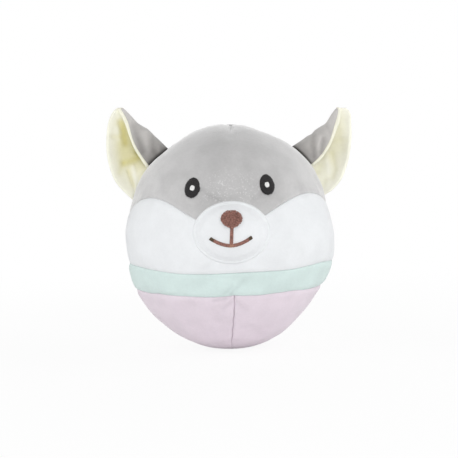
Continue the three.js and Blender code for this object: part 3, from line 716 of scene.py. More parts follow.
# Lower and upper seam, material and slot
SEAT = (floor_middle, mint_bottom, PINK_PLUSH, "pink_plush")
MINT = (mint_bottom, mint_top, MINT_PLUSH, "mint_plush")
CHEEKS = (mint_top, cheek_seam, WHITE_PLUSH, "white_plush")
CROWN_FRONT = (cheek_seam, crown_top, GREY_PLUSH, "grey_plush")
CROWN_BACK = (mint_top, crown_top, GREY_PLUSH, "grey_plush")
PANELS = [
    # name, node, first and last angle, and whether it has a centre seam
    ("crown_front_panel", "crown_front", -QUARTER, QUARTER, False, *CROWN_FRONT),
    ("cheek_panel", "cheeks_front", -QUARTER, QUARTER, False, *CHEEKS),
    ("mint_front_panel", "mint_band_front", -QUARTER, QUARTER, False, *MINT),
    ("seat_front_left_panel", "seat_front_left", 0, QUARTER, True, *SEAT),
    ("seat_front_right_panel", "seat_front_right", -QUARTER, 0, True, *SEAT),
]
BACK_PANELS = [
    ("seat_back", "seat_back", SEAT),
    ("mint_back", "mint_band_back", MINT),
    ("crown_back", "crown_back", CROWN_BACK),
]
for label, first, last in (("left", QUARTER, math.pi), ("right", math.pi, 3 * QUARTER)):
    for name, node_name, cut in BACK_PANELS:
        PANELS.append((f"{name}_{label}_panel", f"{node_name}_{label}", first, last, True, *cut))


# Cloth: the skin as one closed bag, sewn down along its seams and blown out by its stuffing
BAG_TURNS = 144
BAG_ROWS = 90
CLOTH_VOXEL = 3.4
CLOTH_FRAMES = 24
CLOTH_PRESSURE = 4.0
CLOTH_SLACK = -0.022
START_INSET = 0.7
SEAM_DRAW = 0.4
SEAM_HOLD = 1.8
PUFF_SHARE = 0.9
PUFF_LOWEST = -1.6
PUFF_HIGHEST = 1.2
CAST_FROM = 6.0
FAR = 99.0


def muzzle_flat(x, z):
    """A place on the muzzle, in shares of its half width and half height."""
    return x / MUZZLE_HALF_WIDTH, (z - MUZZLE_HEIGHT) / MUZZLE_HALF_HEIGHT


def form_place(points):
    """The angle and latitude of the form's surface nearest to some points, out from its middle."""
    away = points - np.array([0, 0, EQUATOR_HEIGHT])
    low, high = np.full(len(points), 0.5), np.full(len(points), 2.0)
    for _ in range(40):
        share = (low + high) / 2
        drop = np.clip(-away[:, 2] * share / BODY_LOWER, 0, 1)
        half_depth = lerp(BODY_HALF_DEPTH, BODY_HALF_WIDTH, drop ** BOTTOM_ROUNDING)
        reach = np.hypot(away[:, 0] / BODY_HALF_WIDTH, away[:, 1] / half_depth) * share
        rise = np.maximum(away[:, 2], 0) / BODY_UPPER * share
        inside = reach ** 2 + rise ** 2 + drop ** LOWER_FULLNESS < 1
        low, high = np.where(inside, share, low), np.where(inside, high, share)
    on_form = away * share[:, None]
    latitude = latitude_at(EQUATOR_HEIGHT + on_form[:, 2])
    angle = np.arctan2(on_form[:, 0] / BODY_HALF_WIDTH, -on_form[:, 1] / half_depth_at(latitude))
    return angle, latitude


def seam_distance(angle, latitude):
    """How far places on the form lie from the nearest seam, in millimetres."""
    x, y, z = np.moveaxis(body_point(angle, latitude), -1, 0)
    front = y < 0
    steep = np.hypot(np.cos(latitude), 0.4)
    return np.minimum.reduce([
        np.abs(y),
        np.where(front & (z >= MINT_BOTTOM), FAR, np.abs(x)),
        np.abs(latitude - mint_top(angle)) * BODY_LOWER,
        np.abs(latitude - mint_bottom(angle)) * BODY_LOWER,
        np.where(front, np.abs(latitude - cheek_seam(angle)) * BODY_UPPER * steep, FAR),
        np.where(front, np.abs(np.hypot(*muzzle_flat(x, z)) - 1) * MUZZLE_MEAN_RADIUS, FAR),
        np.where(front & (z > DART_HEIGHT + 1), np.abs(x - DART_X), FAR),
        np.maximum(z - 6, 0),
    ])


def closed_form(inset):
    """The form as one closed mesh of even squares, a little under its surface."""
    turns = np.linspace(-math.pi, math.pi, BAG_TURNS + 1)[:-1]
    angle, latitude = np.meshgrid(turns, np.linspace(-QUARTER, QUARTER, BAG_ROWS))
    grid = body_point(angle, latitude) - body_normal(angle, latitude) * inset
    made = closed_object("skin_bag", grid, grid_faces(*grid.shape[:2], wraps=True), WHITE_PLUSH, weld=0.01)
    remesh = made.modifiers.new("even", "REMESH")
    remesh.mode = "VOXEL"
    remesh.voxel_size = CLOTH_VOXEL * MM
    mesh = evaluated(made)
    made.modifiers.clear()
    made.data = mesh
    return made


def settled_skin():
    """Runs the cloth on the bag, and gives back its settled surface."""
    bag = closed_form(START_INSET)
    angle, latitude = form_place(vertices_of(bag.data))
    form, normals = body_point(angle, latitude), body_normal(angle, latitude)
    distance = seam_distance(angle, latitude)
    inset = START_INSET + SEAM_DRAW * np.clip(1 - distance / SEAM_HOLD, 0, 1)
    bag.data.vertices.foreach_set("co", ((form - normals * inset[:, None]) * MM).ravel())
    pins = bag.vertex_groups.new(name="pins")
    pins.add([int(index) for index in np.flatnonzero(distance < SEAM_HOLD)], 1.0, "REPLACE")
    cloth = bag.modifiers.new("cloth", "CLOTH")
    cloth.settings.quality = 6
    cloth.settings.vertex_group_mass = "pins"
    cloth.settings.use_pressure = True
    cloth.settings.uniform_pressure_force = CLOTH_PRESSURE
    cloth.settings.shrink_min = CLOTH_SLACK
    cloth.settings.effector_weights.gravity = 0
    cloth.collision_settings.use_collision = False
    cloth.point_cache.frame_start = 1
    cloth.point_cache.frame_end = CLOTH_FRAMES
    for number in range(1, CLOTH_FRAMES + 1):
        bpy.context.scene.frame_set(number)
    settled = evaluated(bag)
    bpy.context.scene.frame_set(1)
    bag.modifiers.clear()
    puff = ((vertices_of(settled) - form) * normals).sum(axis=1)
    puff = np.clip(puff * PUFF_SHARE, PUFF_LOWEST, PUFF_HIGHEST)
    bag.data = settled
    settled.vertices.foreach_set("co", ((form + normals * puff[:, None]) * MM).ravel())
    bag.modifiers.new("finer", "SUBSURF").levels = 2
    finer = evaluated(bag)
    faces = [tuple(polygon.vertices) for polygon in finer.polygons]
    tree = BVHTree.FromPolygons(vertices_of(finer).tolist(), faces)
    bpy.data.objects.remove(bag)
    return tree


def softened(grid):
    """Each value averaged with its neighbours in a grid."""
    for axis in (0, 1):
        count = grid.shape[axis]
        padded = np.concatenate([grid.take([0], axis), grid, grid.take([-1], axis)], axis=axis)
        grid = (padded.take(range(count), axis) + 2 * grid + padded.take(range(2, count + 2), axis)) / 4
    return grid


def cloth_puff(angle, latitude, runs):
    """How far the settled cloth lies under the plain form, at places on a panel."""
    points = body_point(angle, latitude)
    normals = body_normal(angle, latitude)
    inset = np.empty(points.shape[:-1])
    for index in np.ndindex(inset.shape):
        normal = Vector(normals[index])
        hit = skin_cloth.ray_cast(Vector(points[index]) + normal * CAST_FROM, -normal, 2 * CAST_FROM)
        inset[index] = hit[3] - CAST_FROM if hit[0] is not None else SEAM_PINCH
    nearest = np.minimum.reduce(runs)
    return lerp(START_INSET + SEAM_DRAW, softened(inset), smooth(nearest / 2.2))


skin_cloth = settled_skin()
puffed = cloth_puff


# The skin's real surface, for what is sewn onto it
def surface_tree(grids):
    points, faces, start = [], [], 0
    for grid in grids:
        faces.extend(grid_faces(*grid.shape[:2], start=start).tolist())
        points.append(grid.reshape(-1, 3))
        start += grid.shape[0] * grid.shape[1]
    return BVHTree.FromPolygons(np.concatenate(points).tolist(), faces)


skin_tree = surface_tree([skin_panel(*panel) for panel in PANELS])


def skin_at(x, z, side=-1):
    """The y of the skin at places seen from the front, or from the back with side 1."""
    x, z = np.broadcast_arrays(np.asarray(x, float), np.asarray(z, float))
    found = np.empty(x.shape)
    for index in np.ndindex(x.shape):
        hit = skin_tree.ray_cast(Vector((x[index], side * 200, z[index])), Vector((0, -side, 0)))[0]
        plain = side * float(front_depth(x[index], z[index])) + BODY_MIDDLE_Y
        found[index] = hit.y if hit is not None else plain
    return found


def plain_front(x, z):
    return BODY_MIDDLE_Y - front_depth(x, z)


def front_normal(depth, x, z):
    """The way a front surface faces, from its y at places seen from the front."""
    step = 0.2
    slope_x = (depth(x + step, z) - depth(x - step, z)) / (2 * step)
    slope_z = (depth(x, z + step) - depth(x, z - step)) / (2 * step)
    return unit(points_at(slope_x, -np.ones_like(slope_x), slope_z))


# Threads
def tubes(paths, normals, width, height, sides, taper=0.45):
    """Closed tubes along many short paths, each flattened toward the cloth."""
    count, steps = paths.shape[:2]
    ahead = np.concatenate([paths[:, 1:], 2 * paths[:, -1:] - paths[:, -2:-1]], axis=1)
    behind = np.concatenate([2 * paths[:, :1] - paths[:, 1:2], paths[:, :-1]], axis=1)
    along = unit(ahead - behind)
    across = unit(np.cross(along, normals))
    upward = unit(np.cross(across, along))
    size = np.ones(steps)
    size[0] = size[-1] = taper
    turn = np.arange(sides) * FULL_TURN / sides
    ring = (
        across[:, :, None, :] * (np.cos(turn) * width / 2)[None, None, :, None]
        + upward[:, :, None, :] * (np.sin(turn) * height / 2)[None, None, :, None]
    )
    points = paths[:, :, None, :] + ring * size[None, :, None, None]
    tube = grid_faces(steps, sides, wraps=True)[:, ::-1].tolist()
    tube += [list(range(sides)), list(range((steps - 1) * sides, steps * sides))[::-1]]
    starts = range(0, count * steps * sides, steps * sides)
    return points, [[start + corner for corner in face] for start in starts for face in tube]


def thread_object(name, paths, normals, width, height, material, sides=6):
    points, faces = tubes(paths, normals, width, height, sides)
    return smooth_shaded(new_object(name, points, faces, material))


def joined(first, *others):
    """One object from several that share a body."""
    tool = bmesh.new()
    slots = []
    for piece in (first, *others):
        base = len(tool.faces)
        tool.from_mesh(piece.data)
        material = piece.data.materials[0]
        if material not in slots:
            slots.append(material)
        tool.faces.ensure_lookup_table()
        for face in tool.faces[base:]:
            face.material_index = slots.index(material)
    first.data.materials.clear()
    for material in slots:
        first.data.materials.append(material)
    tool.to_mesh(first.data)
    tool.free()
    for piece in others:
        bpy.data.objects.remove(piece)
    return first


# Muzzle
EDGE_TURNS = 120
COVER_TURNS = 144
COVER_RUN = 22.1
COVER_STANDOFF = 1.55
COVER_ROLL = 1.15
COVER_ROLL_DROP = 1.45
GROOVE_DEPTH = 0.35
GROOVE_HALF_WIDTH = 0.55
PAD_SHARE = 0.9
PAD_CLEARANCE = 1.7
TOPSTITCH_PITCH = 3.1
TOPSTITCH_SIZE = (0.32, 0.26)


def on_muzzle(share, turn):
    """Places seen from the front, at a share of the way from the muzzle's middle to its edge."""
    x = share * MUZZLE_HALF_WIDTH * np.cos(turn)
    return x, MUZZLE_HEIGHT + share * MUZZLE_HALF_HEIGHT * np.sin(turn)


edge_turn = turns_round(EDGE_TURNS)
edge_offset = skin_at(*on_muzzle(1, edge_turn)) - plain_front(*on_muzzle(1, edge_turn))
edge_offset = sum(np.roll(edge_offset, step) for step in range(-4, 5)) / 9


def muzzle_away(x, z):
    return np.minimum(np.hypot(*muzzle_flat(x, z)), 1)


def muzzle_base(x, z):
    flat_x, flat_z = muzzle_flat(x, z)
    turn = np.arctan2(flat_z, flat_x) % FULL_TURN
    offset = np.interp(turn, np.append(edge_turn, FULL_TURN), np.append(edge_offset, edge_offset[0]))
    return plain_front(x, z) + offset * muzzle_away(x, z) ** 2


def muzzle_lift(x, z):
    """How far the muzzle's cover stands out: a turned edge, a stitched groove and a soft dome."""
    away = muzzle_away(x, z)
    inward = (1 - away) * MUZZLE_MEAN_RADIUS
    turn = np.arctan2(z - MUZZLE_HEIGHT, x)
    edge = COVER_STANDOFF - roll(inward, COVER_ROLL) * COVER_ROLL_DROP
    groove = GROOVE_DEPTH * bell(inward - MUZZLE_GROOVE, GROOVE_HALF_WIDTH)
    dome = MUZZLE_RISE * (1 - away ** MUZZLE_DOME) * smooth((inward - 0.6) / 5)
    tug = 0.16 * ripple(turn * 22, 61, 0.7, 1.5, waves=4) * bell(inward - 2.6, 2.2)
    return edge - groove + dome + tug


def muzzle_front(x, z):
    nose_away = np.hypot(x / (NOSE_SIZE[0] / 2), (z - NOSE_HEIGHT) / (NOSE_SIZE[1] / 2))
    return muzzle_base(x, z) - muzzle_lift(x, z) + NOSE_DENT * smooth((1.25 - nose_away) / 0.3)


def muzzle():
    """The cover, with its edge turned in and its lining behind it, and the pad of wadding under it."""
    rings = 1 - graded(COVER_RUN, 0.16, 0.55, growth=1.25, last=False)[::-1]
    x, z = on_muzzle(*np.meshgrid(rings, turns_round(COVER_TURNS), indexing="ij"))
    base = muzzle_base(x, z)
    outer = points_at(x, muzzle_front(x, z), z)
    inner = points_at(x * 0.995, base - (muzzle_lift(x, z) - MUZZLE_SKIN), z)
    outer[-1, :, 1] = base[-1] + 0.35
    inner[-1, :, 1] = base[-1] + 0.45
    inner[..., 1] = np.maximum(inner[..., 1], outer[..., 1] + 0.1)
    cover = sheet("muzzle_cover_panel", outer, inner, WHITE_PLUSH, wraps=True)
    dress(cover, "root", "white_plush", "muzzle_cover")

    x, z = x * PAD_SHARE, MUZZLE_HEIGHT + (z - MUZZLE_HEIGHT) * PAD_SHARE
    base = muzzle_base(x, z) - 0.15
    lumpy = 0.12 * ripple(x, 71, 0.5, 1.4) * ripple(z, 72, 0.5, 1.4)
    lift = np.maximum(muzzle_lift(x, z) - PAD_CLEARANCE, 0.35) + lumpy - 0.15
    outer, inner = points_at(x, base - np.maximum(lift, 0.1), z), points_at(x, base, z)
    pad = sheet("muzzle_padding", outer, inner, FILL, wraps=True)
    dress(pad, "root", "stuffing", "muzzle_pad")


def topstitching():
    """One row of short stitches in the groove round the muzzle."""
    groove = 1 - MUZZLE_GROOVE / MUZZLE_MEAN_RADIUS
    count = round(FULL_TURN * COVER_RUN * groove / TOPSTITCH_PITCH)
    along = np.linspace(-0.38, 0.38, 7)[None, :]
    turn = np.arange(count)[:, None] * FULL_TURN / count + along * FULL_TURN / count
    x, z = on_muzzle(groove, turn)
    y = muzzle_front(x, z) + np.linspace(-1, 1, 7)[None, :] ** 4 * 0.4 - 0.06
    normals = front_normal(muzzle_front, x, z)
    paths = points_at(x, y, z)
    threads = thread_object("muzzle_topstitch", paths, normals, *TOPSTITCH_SIZE, TOPSTITCH_THREAD)
    dress(threads, "root", "white_thread")


muzzle()
topstitching()


# Embroidery
THREAD_PITCH = 0.42
HIGHLIGHT_PITCH = 0.36
LINE_PITCH = 0.4
EYE_JITTER = 0.16
HIGHLIGHT_JITTER = 0.08
LINE_JITTER = 0.07
THREAD_WIDTH = 0.5
HIGHLIGHT_WIDTH = 0.44
THREAD_HEIGHT = 0.4
NOSE_STITCH = 3.4
# how high a stitch stands at its middle, and the patch under it
EYE_LIFT, EYE_PATCH = 0.75, 0.62
HIGHLIGHT_LIFT, HIGHLIGHT_PATCH = 1.25, 1.12
NOSE_LIFT, NOSE_PATCH = 0.78, 0.62
SMILE_LIFT, TIP_LIFT, JOIN_LIFT = 0.72, 0.66, 0.78
PHILTRUM_LIFT = 0.7


def stitched(name, starts, ends, depth, lift, material, dive=0.55, steps=9, width=THREAD_WIDTH):
    """Satin stitches between pairs of places seen from the front, over a surface given by its y."""
    share = np.linspace(0, 1, steps)[None, :]
    x = lerp(starts[:, :1], ends[:, :1], share)
    z = lerp(starts[:, 1:], ends[:, 1:], share)
    normals = front_normal(depth, x, z)
    high = lift * (1 - np.abs(2 * share - 1) ** 6) - dive * np.abs(2 * share - 1) ** 8
    points = points_at(x, depth(x, z), z) + normals * high[..., None]
    return thread_object(name, points, normals, width, THREAD_HEIGHT, material)


def patch(name, inside, depth, lift, edge, material, turns=64, rings=8):
    """A low padded patch under the threads, so that no cloth shows between them."""
    share, turn = np.meshgrid(np.linspace(0, 1, rings), turns_round(turns), indexing="ij")
    x, z = inside(share * edge, turn)
    normals = front_normal(depth, x, z)
    outer = points_at(x, depth(x, z), z)
    high = lift * (1 - share ** 6) - 0.35 * share ** 6
    return sheet(name, outer + normals * high[..., None], outer - normals * 0.6, material, wraps=True)


def oval_rows(size, tilt, middle, pitch, jitter, seed):
    """Ends of stitches that run across an oval, one row after another."""
    draw = np.random.default_rng(seed)
    half_width, half_height = size[0] / 2, size[1] / 2
    rows = np.arange(-half_height + pitch * 0.6, half_height - pitch * 0.4, pitch)
    reach = half_width * np.sqrt(np.maximum(1 - (rows / half_height) ** 2, 0)) + 0.15
    ends = []
    for side in (-1, 1):
        across = side * (reach + draw.uniform(-jitter, jitter, len(rows)))
        up = rows + draw.uniform(-0.05, 0.05, len(rows))
        ends.append(points_at(*turned(across, up, tilt)) + middle)
    return ends


def oval_inside(size, tilt, middle):
    def inside(share, turn):
        x, z = turned(share * size[0] / 2 * np.cos(turn), share * size[1] / 2 * np.sin(turn), tilt)
        return middle[0] + x, middle[1] + z

    return inside


def eye(label, side, spread, height, lean):
    middle = (side * spread, height)
    tilt = side * lean
    seat = float(skin_at(*middle)) - float(plain_front(*middle))

    def depth(x, z):
        return plain_front(x, z) + seat

    seed = 80 + side
    ends = oval_rows(EYE_SIZE, tilt, middle, THREAD_PITCH, EYE_JITTER, seed)
    threads = stitched(f"eye_{label}_stitches", *ends, depth, EYE_LIFT, BLACK_THREAD, steps=13)
    inside = oval_inside(EYE_SIZE, tilt, middle)
    base = patch(f"eye_{label}_base", inside, depth, EYE_PATCH, 0.97, BLACK_THREAD)
    dress(joined(threads, base), "root", "black_thread", f"eye_{label}")
    name = f"eye_highlight_{label}"
    middle = (side * (spread - 0.4), height - 0.35)
    ends = oval_rows(HIGHLIGHT_SIZE, tilt, middle, HIGHLIGHT_PITCH, HIGHLIGHT_JITTER, seed + 5)
    inside = oval_inside(HIGHLIGHT_SIZE, tilt, middle)
    shine = stitched(
        f"{name}_stitches", *ends, depth, HIGHLIGHT_LIFT, WHITE_THREAD, dive=-0.55, width=HIGHLIGHT_WIDTH
    )
    spot = patch(f"{name}_base", inside, depth, HIGHLIGHT_PATCH, 0.92, WHITE_THREAD, turns=32, rings=6)
    dress(joined(shine, spot), "root", "white_thread", name)


for label, place in EYES.items():
    eye(label, *place)


def nose_reach(up):
    """Half the nose's width at a height between -1 and 1: a round top, drawn in toward the bottom."""
    share = np.minimum(np.abs(up), 1)
    return NOSE_SIZE[0] / 2 * (1 - share ** np.where(up > 0, 1.9, 1.7)) ** np.where(up > 0, 0.53, 0.6)


def nose_inside(share, turn):
    up = np.sin(turn)
    x = share * np.copysign(nose_reach(up), np.cos(turn))
    return x, NOSE_HEIGHT + share * NOSE_SIZE[1] / 2 * up


def nose():
    """The nose, filled with rows of short stitches that are offset like bricks."""
    draw = np.random.default_rng(90)
    half_height = NOSE_SIZE[1] / 2
    starts, ends = [], []
    for number, up in enumerate(np.arange(0.25 - half_height, half_height - 0.15, THREAD_PITCH)):
        reach = float(nose_reach(up / half_height)) + 0.1
        place = -reach + draw.uniform(-0.12, 0.12)
        stop = -reach + NOSE_STITCH * ((number * 0.37) % 1) + 0.5
        while place < reach - 0.3:
            stop = min(stop, reach + draw.uniform(-0.12, 0.12))
            starts.append((place, NOSE_HEIGHT + up + draw.uniform(-0.07, 0.07)))
            ends.append((stop + 0.12, NOSE_HEIGHT + up + draw.uniform(-0.07, 0.07)))
            place = stop - 0.05
            stop = place + NOSE_STITCH * draw.uniform(0.85, 1.15)
    ends = np.array(starts), np.array(ends)
    threads = stitched("nose_stitches", *ends, muzzle_front, NOSE_LIFT, BROWN_THREAD, dive=-0.35, steps=7)
    base = patch("nose_base", nose_inside, muzzle_front, NOSE_PATCH, 0.97, BROWN_THREAD)
    dress(joined(threads, base), "root", "brown_thread", "nose_embroidery")


def satin_line(path, width, seed):
    """Ends of stitches that cross a line on the muzzle from side to side."""
    draw = np.random.default_rng(seed)
    runs = arc_runs(path, 0)
    places = np.arange(LINE_PITCH / 2, runs[-1], LINE_PITCH)
    middle = points_at(*(np.interp(places, runs, path[:, axis]) for axis in (0, 1)))
    along = unit(np.gradient(middle, axis=0))
    across = points_at(-along[:, 1], along[:, 0]) * width / 2
    slant = along * 0.12
    starts = middle + across * draw.uniform(1 - LINE_JITTER, 1 + LINE_JITTER, (len(places), 1)) + slant
    ends = middle - across * draw.uniform(1 - LINE_JITTER, 1 + LINE_JITTER, (len(places), 1)) - slant
    return starts, ends


def smile():
    share = np.linspace(-1, 1, 81)
    heights = lerp(SMILE_LOW, SMILE_END, np.abs(share) ** SMILE_CURVE)
    path = points_at(SMILE_MIDDLE + share * SMILE_HALF_WIDTH, heights)
    starts, ends = satin_line(path, STITCH_WIDTH + 0.1, 95)
    away = np.abs((starts[:, 0] + ends[:, 0]) / 2 - SMILE_MIDDLE)
    at_tip = away > SMILE_HALF_WIDTH - 2.2
    at_join = away < 1.1
    plain = ~at_tip & ~at_join
    line = stitched("smile_stitches", starts[plain], ends[plain], muzzle_front, SMILE_LIFT, BROWN_THREAD)
    tips = stitched("smile_tips", starts[at_tip], ends[at_tip], muzzle_front, TIP_LIFT, DARK_BROWN_THREAD)
    # painted highlight: the join is stitched in the lighter brown
    join = stitched("smile_join", starts[at_join], ends[at_join], muzzle_front, JOIN_LIFT, PAINTED_HIGHLIGHT_THREAD)
    dress(joined(line, tips, join), "root", "brown_thread", "smile_stitch")


def philtrum():
    top = NOSE_HEIGHT - NOSE_SIZE[1] / 2 + 0.5
    bottom = SMILE_LOW + STITCH_WIDTH / 2 - 0.2
    path = points_at(lerp(SMILE_MIDDLE, 0, np.linspace(1, 0, 21)), np.linspace(top, bottom, 21))
    ends = satin_line(path, STITCH_WIDTH + 0.2, 96)
    line = stitched("philtrum_stitches", *ends, muzzle_front, PHILTRUM_LIFT, BROWN_THREAD)
    dress(line, "root", "brown_thread", "philtrum_stitch")


nose()
smile()
philtrum()


# Ears
EAR_SETBACK = 1.5
EAR_HALF_THICKNESS = 1.45
EAR_FABRIC = 0.7
EAR_TIP_THINNING = 0.72
EAR_TIP_ROUNDING = 0.65
EAR_LENGTH = 48.0
EAR_PINCHED_RADIUS = 2.3
EAR_FOLD_RADIUS = 7.4
EAR_TIP_RADIUS = 1.5
EAR_SINK = 2.2
EAR_ROWS = 64
EAR_COLUMNS = 80
EAR_MARGIN = 0.004
FLAP_CREASE_DEPTH = 1.6
EAR_WALL_SHARE = 0.55
EAR_FOLD_SHARE = 0.13
EAR_FLAP_SHARE = 1 - EAR_WALL_SHARE - EAR_FOLD_SHARE
WADDING_HALF_THICKNESS = 0.45
HEAD_SIDE_HEIGHTS = np.linspace(90, 156, 200)
# Edges seen from the front, from the head to the tip: out from the middle, and height
EAR_EDGES = {
    "left": {
        "side": 1,
        # painted shade in the cup and toward the head, and the width of the painted crevice shadow
        "cup_painted_shade": 0.4,
        "foot_painted_shade": 0.24,
        "crevice_shadow": 2.2,
        "band": 1.4,
        "lateral": [
            (66.8, 104.4), (73.8, 108.9), (79.6, 115.4), (83.3, 123.9), (86.0, 134.3),
            (87.4, 144.0), (87.4, 154.0), (87.0, 161.2), (84.6, 164.6),
        ],
        "fold": [(46.5, 138.4), (54.6, 144.0), (62.7, 149.7), (69.6, 154.3), (73.8, 160.2), (77.8, 164.9)],
        "rim": [(60.6, 123.9), (67.4, 130.8), (71.8, 137.8), (76.1, 147.3), (79.4, 155.6), (80.6, 164.4)],
        # creases seen from the front: their line, half width and depth; a ridge has a negative depth
        "wall_creases": [
            ([(74.0, 133.5), (74.9, 127.1), (75.9, 122.5), (73.4, 116.5)], 2.0, 1.1),
            ([(70.3, 129.5), (71.0, 120.0)], 2.0, -0.8),
            ([(65.0, 124.5), (62.5, 120.5)], 2.0, 0.9),
            ([(77.0, 142.8), (84.0, 142.1)], 1.8, 0.6),
            ([(79.0, 150.0), (81.5, 136.0)], 2.6, 0.7),
            ([(68.4, 114.6), (67.0, 111.0)], 1.6, 0.6),
        ],
        "flap_creases": [
            ([(60.6, 146.5), (59.6, 139.0), (60.3, 131.5)], 1.8, 0.9),
            ([(64.6, 144.5), (62.9, 137.0)], 1.9, -0.6),
            ([(67.0, 143.0), (65.2, 133.5)], 1.6, 0.7),
            ([(70.2, 152.5), (72.4, 145.0)], 1.8, 0.4),
        ],
    },
    "right": {
        "side": -1,
        "cup_painted_shade": 1.0,
        "foot_painted_shade": 0.38,
        "crevice_shadow": 3.2,
        "band": 2.1,
        "lateral": [
            (64.8, 105.8), (70.4, 110.9), (76.9, 118.2), (81.3, 128.9), (83.4, 140.4),
            (83.2, 151.0), (81.2, 161.2), (77.8, 167.4), (74.8, 169.6),
        ],
        "fold": [(42.6, 141.4), (47.7, 147.0), (54.3, 153.3), (60.5, 158.4), (65.2, 163.6), (71.0, 169.5)],
        "rim": [(55.6, 127.3), (59.9, 134.0), (64.0, 141.2), (67.4, 150.4), (70.2, 159.4), (74.6, 168.6)],
        "wall_creases": [
            ([(73.4, 160.0), (71.4, 153.1), (70.6, 145.5)], 2.3, 1.2),
            ([(79.4, 150.1), (74.0, 149.9)], 1.6, 0.7),
            ([(75.6, 155.5), (75.0, 149.0)], 2.0, -0.7),
            ([(62.3, 138.6), (61.4, 135.1), (65.9, 132.9), (72.0, 131.3)], 2.2, 1.1),
            ([(73.3, 131.5), (75.1, 125.0)], 2.0, 0.7),
            ([(69.5, 125.6), (65.9, 115.2)], 1.4, 0.9),
            ([(66.0, 128.6), (63.3, 115.1)], 1.8, -0.9),
        ],
        "flap_creases": [
            ([(63.9, 156.5), (60.8, 147.5), (58.2, 139.0)], 2.5, 1.1),
            ([(56.3, 152.0), (54.4, 145.0)], 2.4, -0.6),
            ([(51.8, 146.0), (50.6, 139.0)], 2.0, 0.8),
            ([(47.6, 141.4), (46.6, 138.6)], 1.4, -0.5),
        ],
    },
}
# The rounded rim in section, from the seam inward: setback from the rim, the share of the pale band's
# extra width, and height. Setback and height are in half thicknesses
OUTER_PROFILE = [(1.31, 1, 0.78), (1.40, 1, 0.90), (1.56, 1, 0.97), (1.9, 1, 1.0)]
INNER_PROFILE = [
    (1.31, 1, 0.78), (1.22, 1, 0.91), (1.08, 1, 0.98), (0.95, 0.4, 1.0), (0.74, 0, 0.966), (0.43, 0, 0.82),
    (0.18, 0, 0.57), (0.03, 0, 0.26), (0.0, 0, -0.09), (0.09, 0, -0.42), (0.29, 0, -0.71), (0.58, 0, -0.91),
    (1.0, 0, -1.0),
]
EAR_BAND_BASE = 0.15


def through(places, shares):
    """A smooth curve through some places, at shares of its length."""
    places = np.array(places, float)
    knots = arc_runs(places, 0)
    knots /= knots[-1]
    slopes = np.gradient(places, knots, axis=0)
    shares = np.clip(shares, 0, 1)
    index = np.clip(np.searchsorted(knots, shares, side="right") - 1, 0, len(knots) - 2)
    span = (knots[index + 1] - knots[index])[..., None]
    part = (shares - knots[index])[..., None] / span
    return (
        (2 * part ** 3 - 3 * part ** 2 + 1) * places[index]
        + (part ** 3 - 2 * part ** 2 + part) * span * slopes[index]
        + (3 * part ** 2 - 2 * part ** 3) * places[index + 1]
        + (part ** 3 - part ** 2) * span * slopes[index + 1]
    )


def outline_place(height):
    """The head's side, seen from the front, a little under its surface."""
    latitude = latitude_at(height)
    points = body_point(QUARTER, latitude)
    return (points - EAR_SINK * body_normal(np.full_like(latitude, QUARTER), latitude))[..., [0, 2]]


def ear_thinning(up):
    """The ear's thickness, which falls toward the tip, as a share of what it has at the base."""
    return lerp(1.0, EAR_TIP_THINNING, smooth((up - 0.7) / 0.3))


def ear_middle(edges, across, up):
    """The middle of the ear's thickness: up the rear wall, round the fold and down the front flap."""
    lateral, fold, rim = (through(edges[key], up) for key in ("lateral", "fold", "rim"))
    lateral_foot, fold_foot, rim_foot = (np.array(edges[key][0]) for key in ("lateral", "fold", "rim"))
    base_way = unit(fold_foot - lateral_foot)
    tip_way = unit(np.array(edges["fold"][-1]) - np.array(edges["lateral"][-1]))
    way = unit(lerp(base_way, tip_way, smooth(up)[..., None]))
    share = np.clip(up, 0, 1)
    fullness = (1 - np.exp(-share / 0.07)) * np.sqrt(1 - share ** 3 + 1e-6)
    radius = lerp(lerp(EAR_PINCHED_RADIUS, EAR_TIP_RADIUS, share), EAR_FOLD_RADIUS, fullness)
    radius = np.maximum(np.minimum(radius, 0.52 * np.linalg.norm(rim - fold, axis=-1)), EAR_TIP_RADIUS)
    inner = radius - EAR_HALF_THICKNESS * ear_thinning(up)
    middle = fold - radius[..., None] * way
    wall = np.clip(across / EAR_WALL_SHARE, 0, 1)
    turn = QUARTER * (1 - 2 * np.clip((across - EAR_WALL_SHARE) / EAR_FOLD_SHARE, 0, 1))
    flap = np.clip((across - EAR_WALL_SHARE - EAR_FOLD_SHARE) / EAR_FLAP_SHARE, 0, 1)
    bend = np.sin(QUARTER * np.minimum(wall / 0.65, 1))
    on_flap = across >= EAR_WALL_SHARE + EAR_FOLD_SHARE

    def by_part(wall_value, fold_value, flap_value):
        # turned round, so that one flag serves both coordinates of a place
        folded = np.where(on_flap.T, flap_value.T, fold_value.T)
        return np.where((across <= EAR_WALL_SHARE).T, wall_value.T, folded).T

    def round_fold(centre, radius, way):
        return centre + (radius * np.cos(turn))[..., None] * way

    up_wall, down_flap = wall[..., None], flap[..., None]
    seen_wall, seen_flap = lerp(lateral, middle, up_wall), lerp(middle, rim, down_flap)
    seen = by_part(seen_wall, round_fold(middle, inner, way), seen_flap)
    back = by_part(inner * lerp(-0.3, 1, bend), inner * np.sin(turn), -inner * (1 + 0.12 * flap))
    # at the base, the ear's foot is drawn onto the head's outline
    pinched = fold_foot - EAR_PINCHED_RADIUS * base_way
    foot = by_part(
        lerp(lateral_foot, pinched, up_wall),
        round_fold(pinched, EAR_PINCHED_RADIUS - EAR_HALF_THICKNESS, base_way),
        lerp(pinched, rim_foot, down_flap),
    )
    low, top, rim_low = lateral_foot[1], fold_foot[1], rim_foot[1]
    height = np.where(on_flap, lerp(top, rim_low, flap), lerp(low, top, wall))
    seen = seen + (outline_place(height) - foot) * ((1 - share) ** 3)[..., None]
    return points_at(seen[..., 0] * edges["side"], EAR_SETBACK + BODY_MIDDLE_Y + back, seen[..., 1])


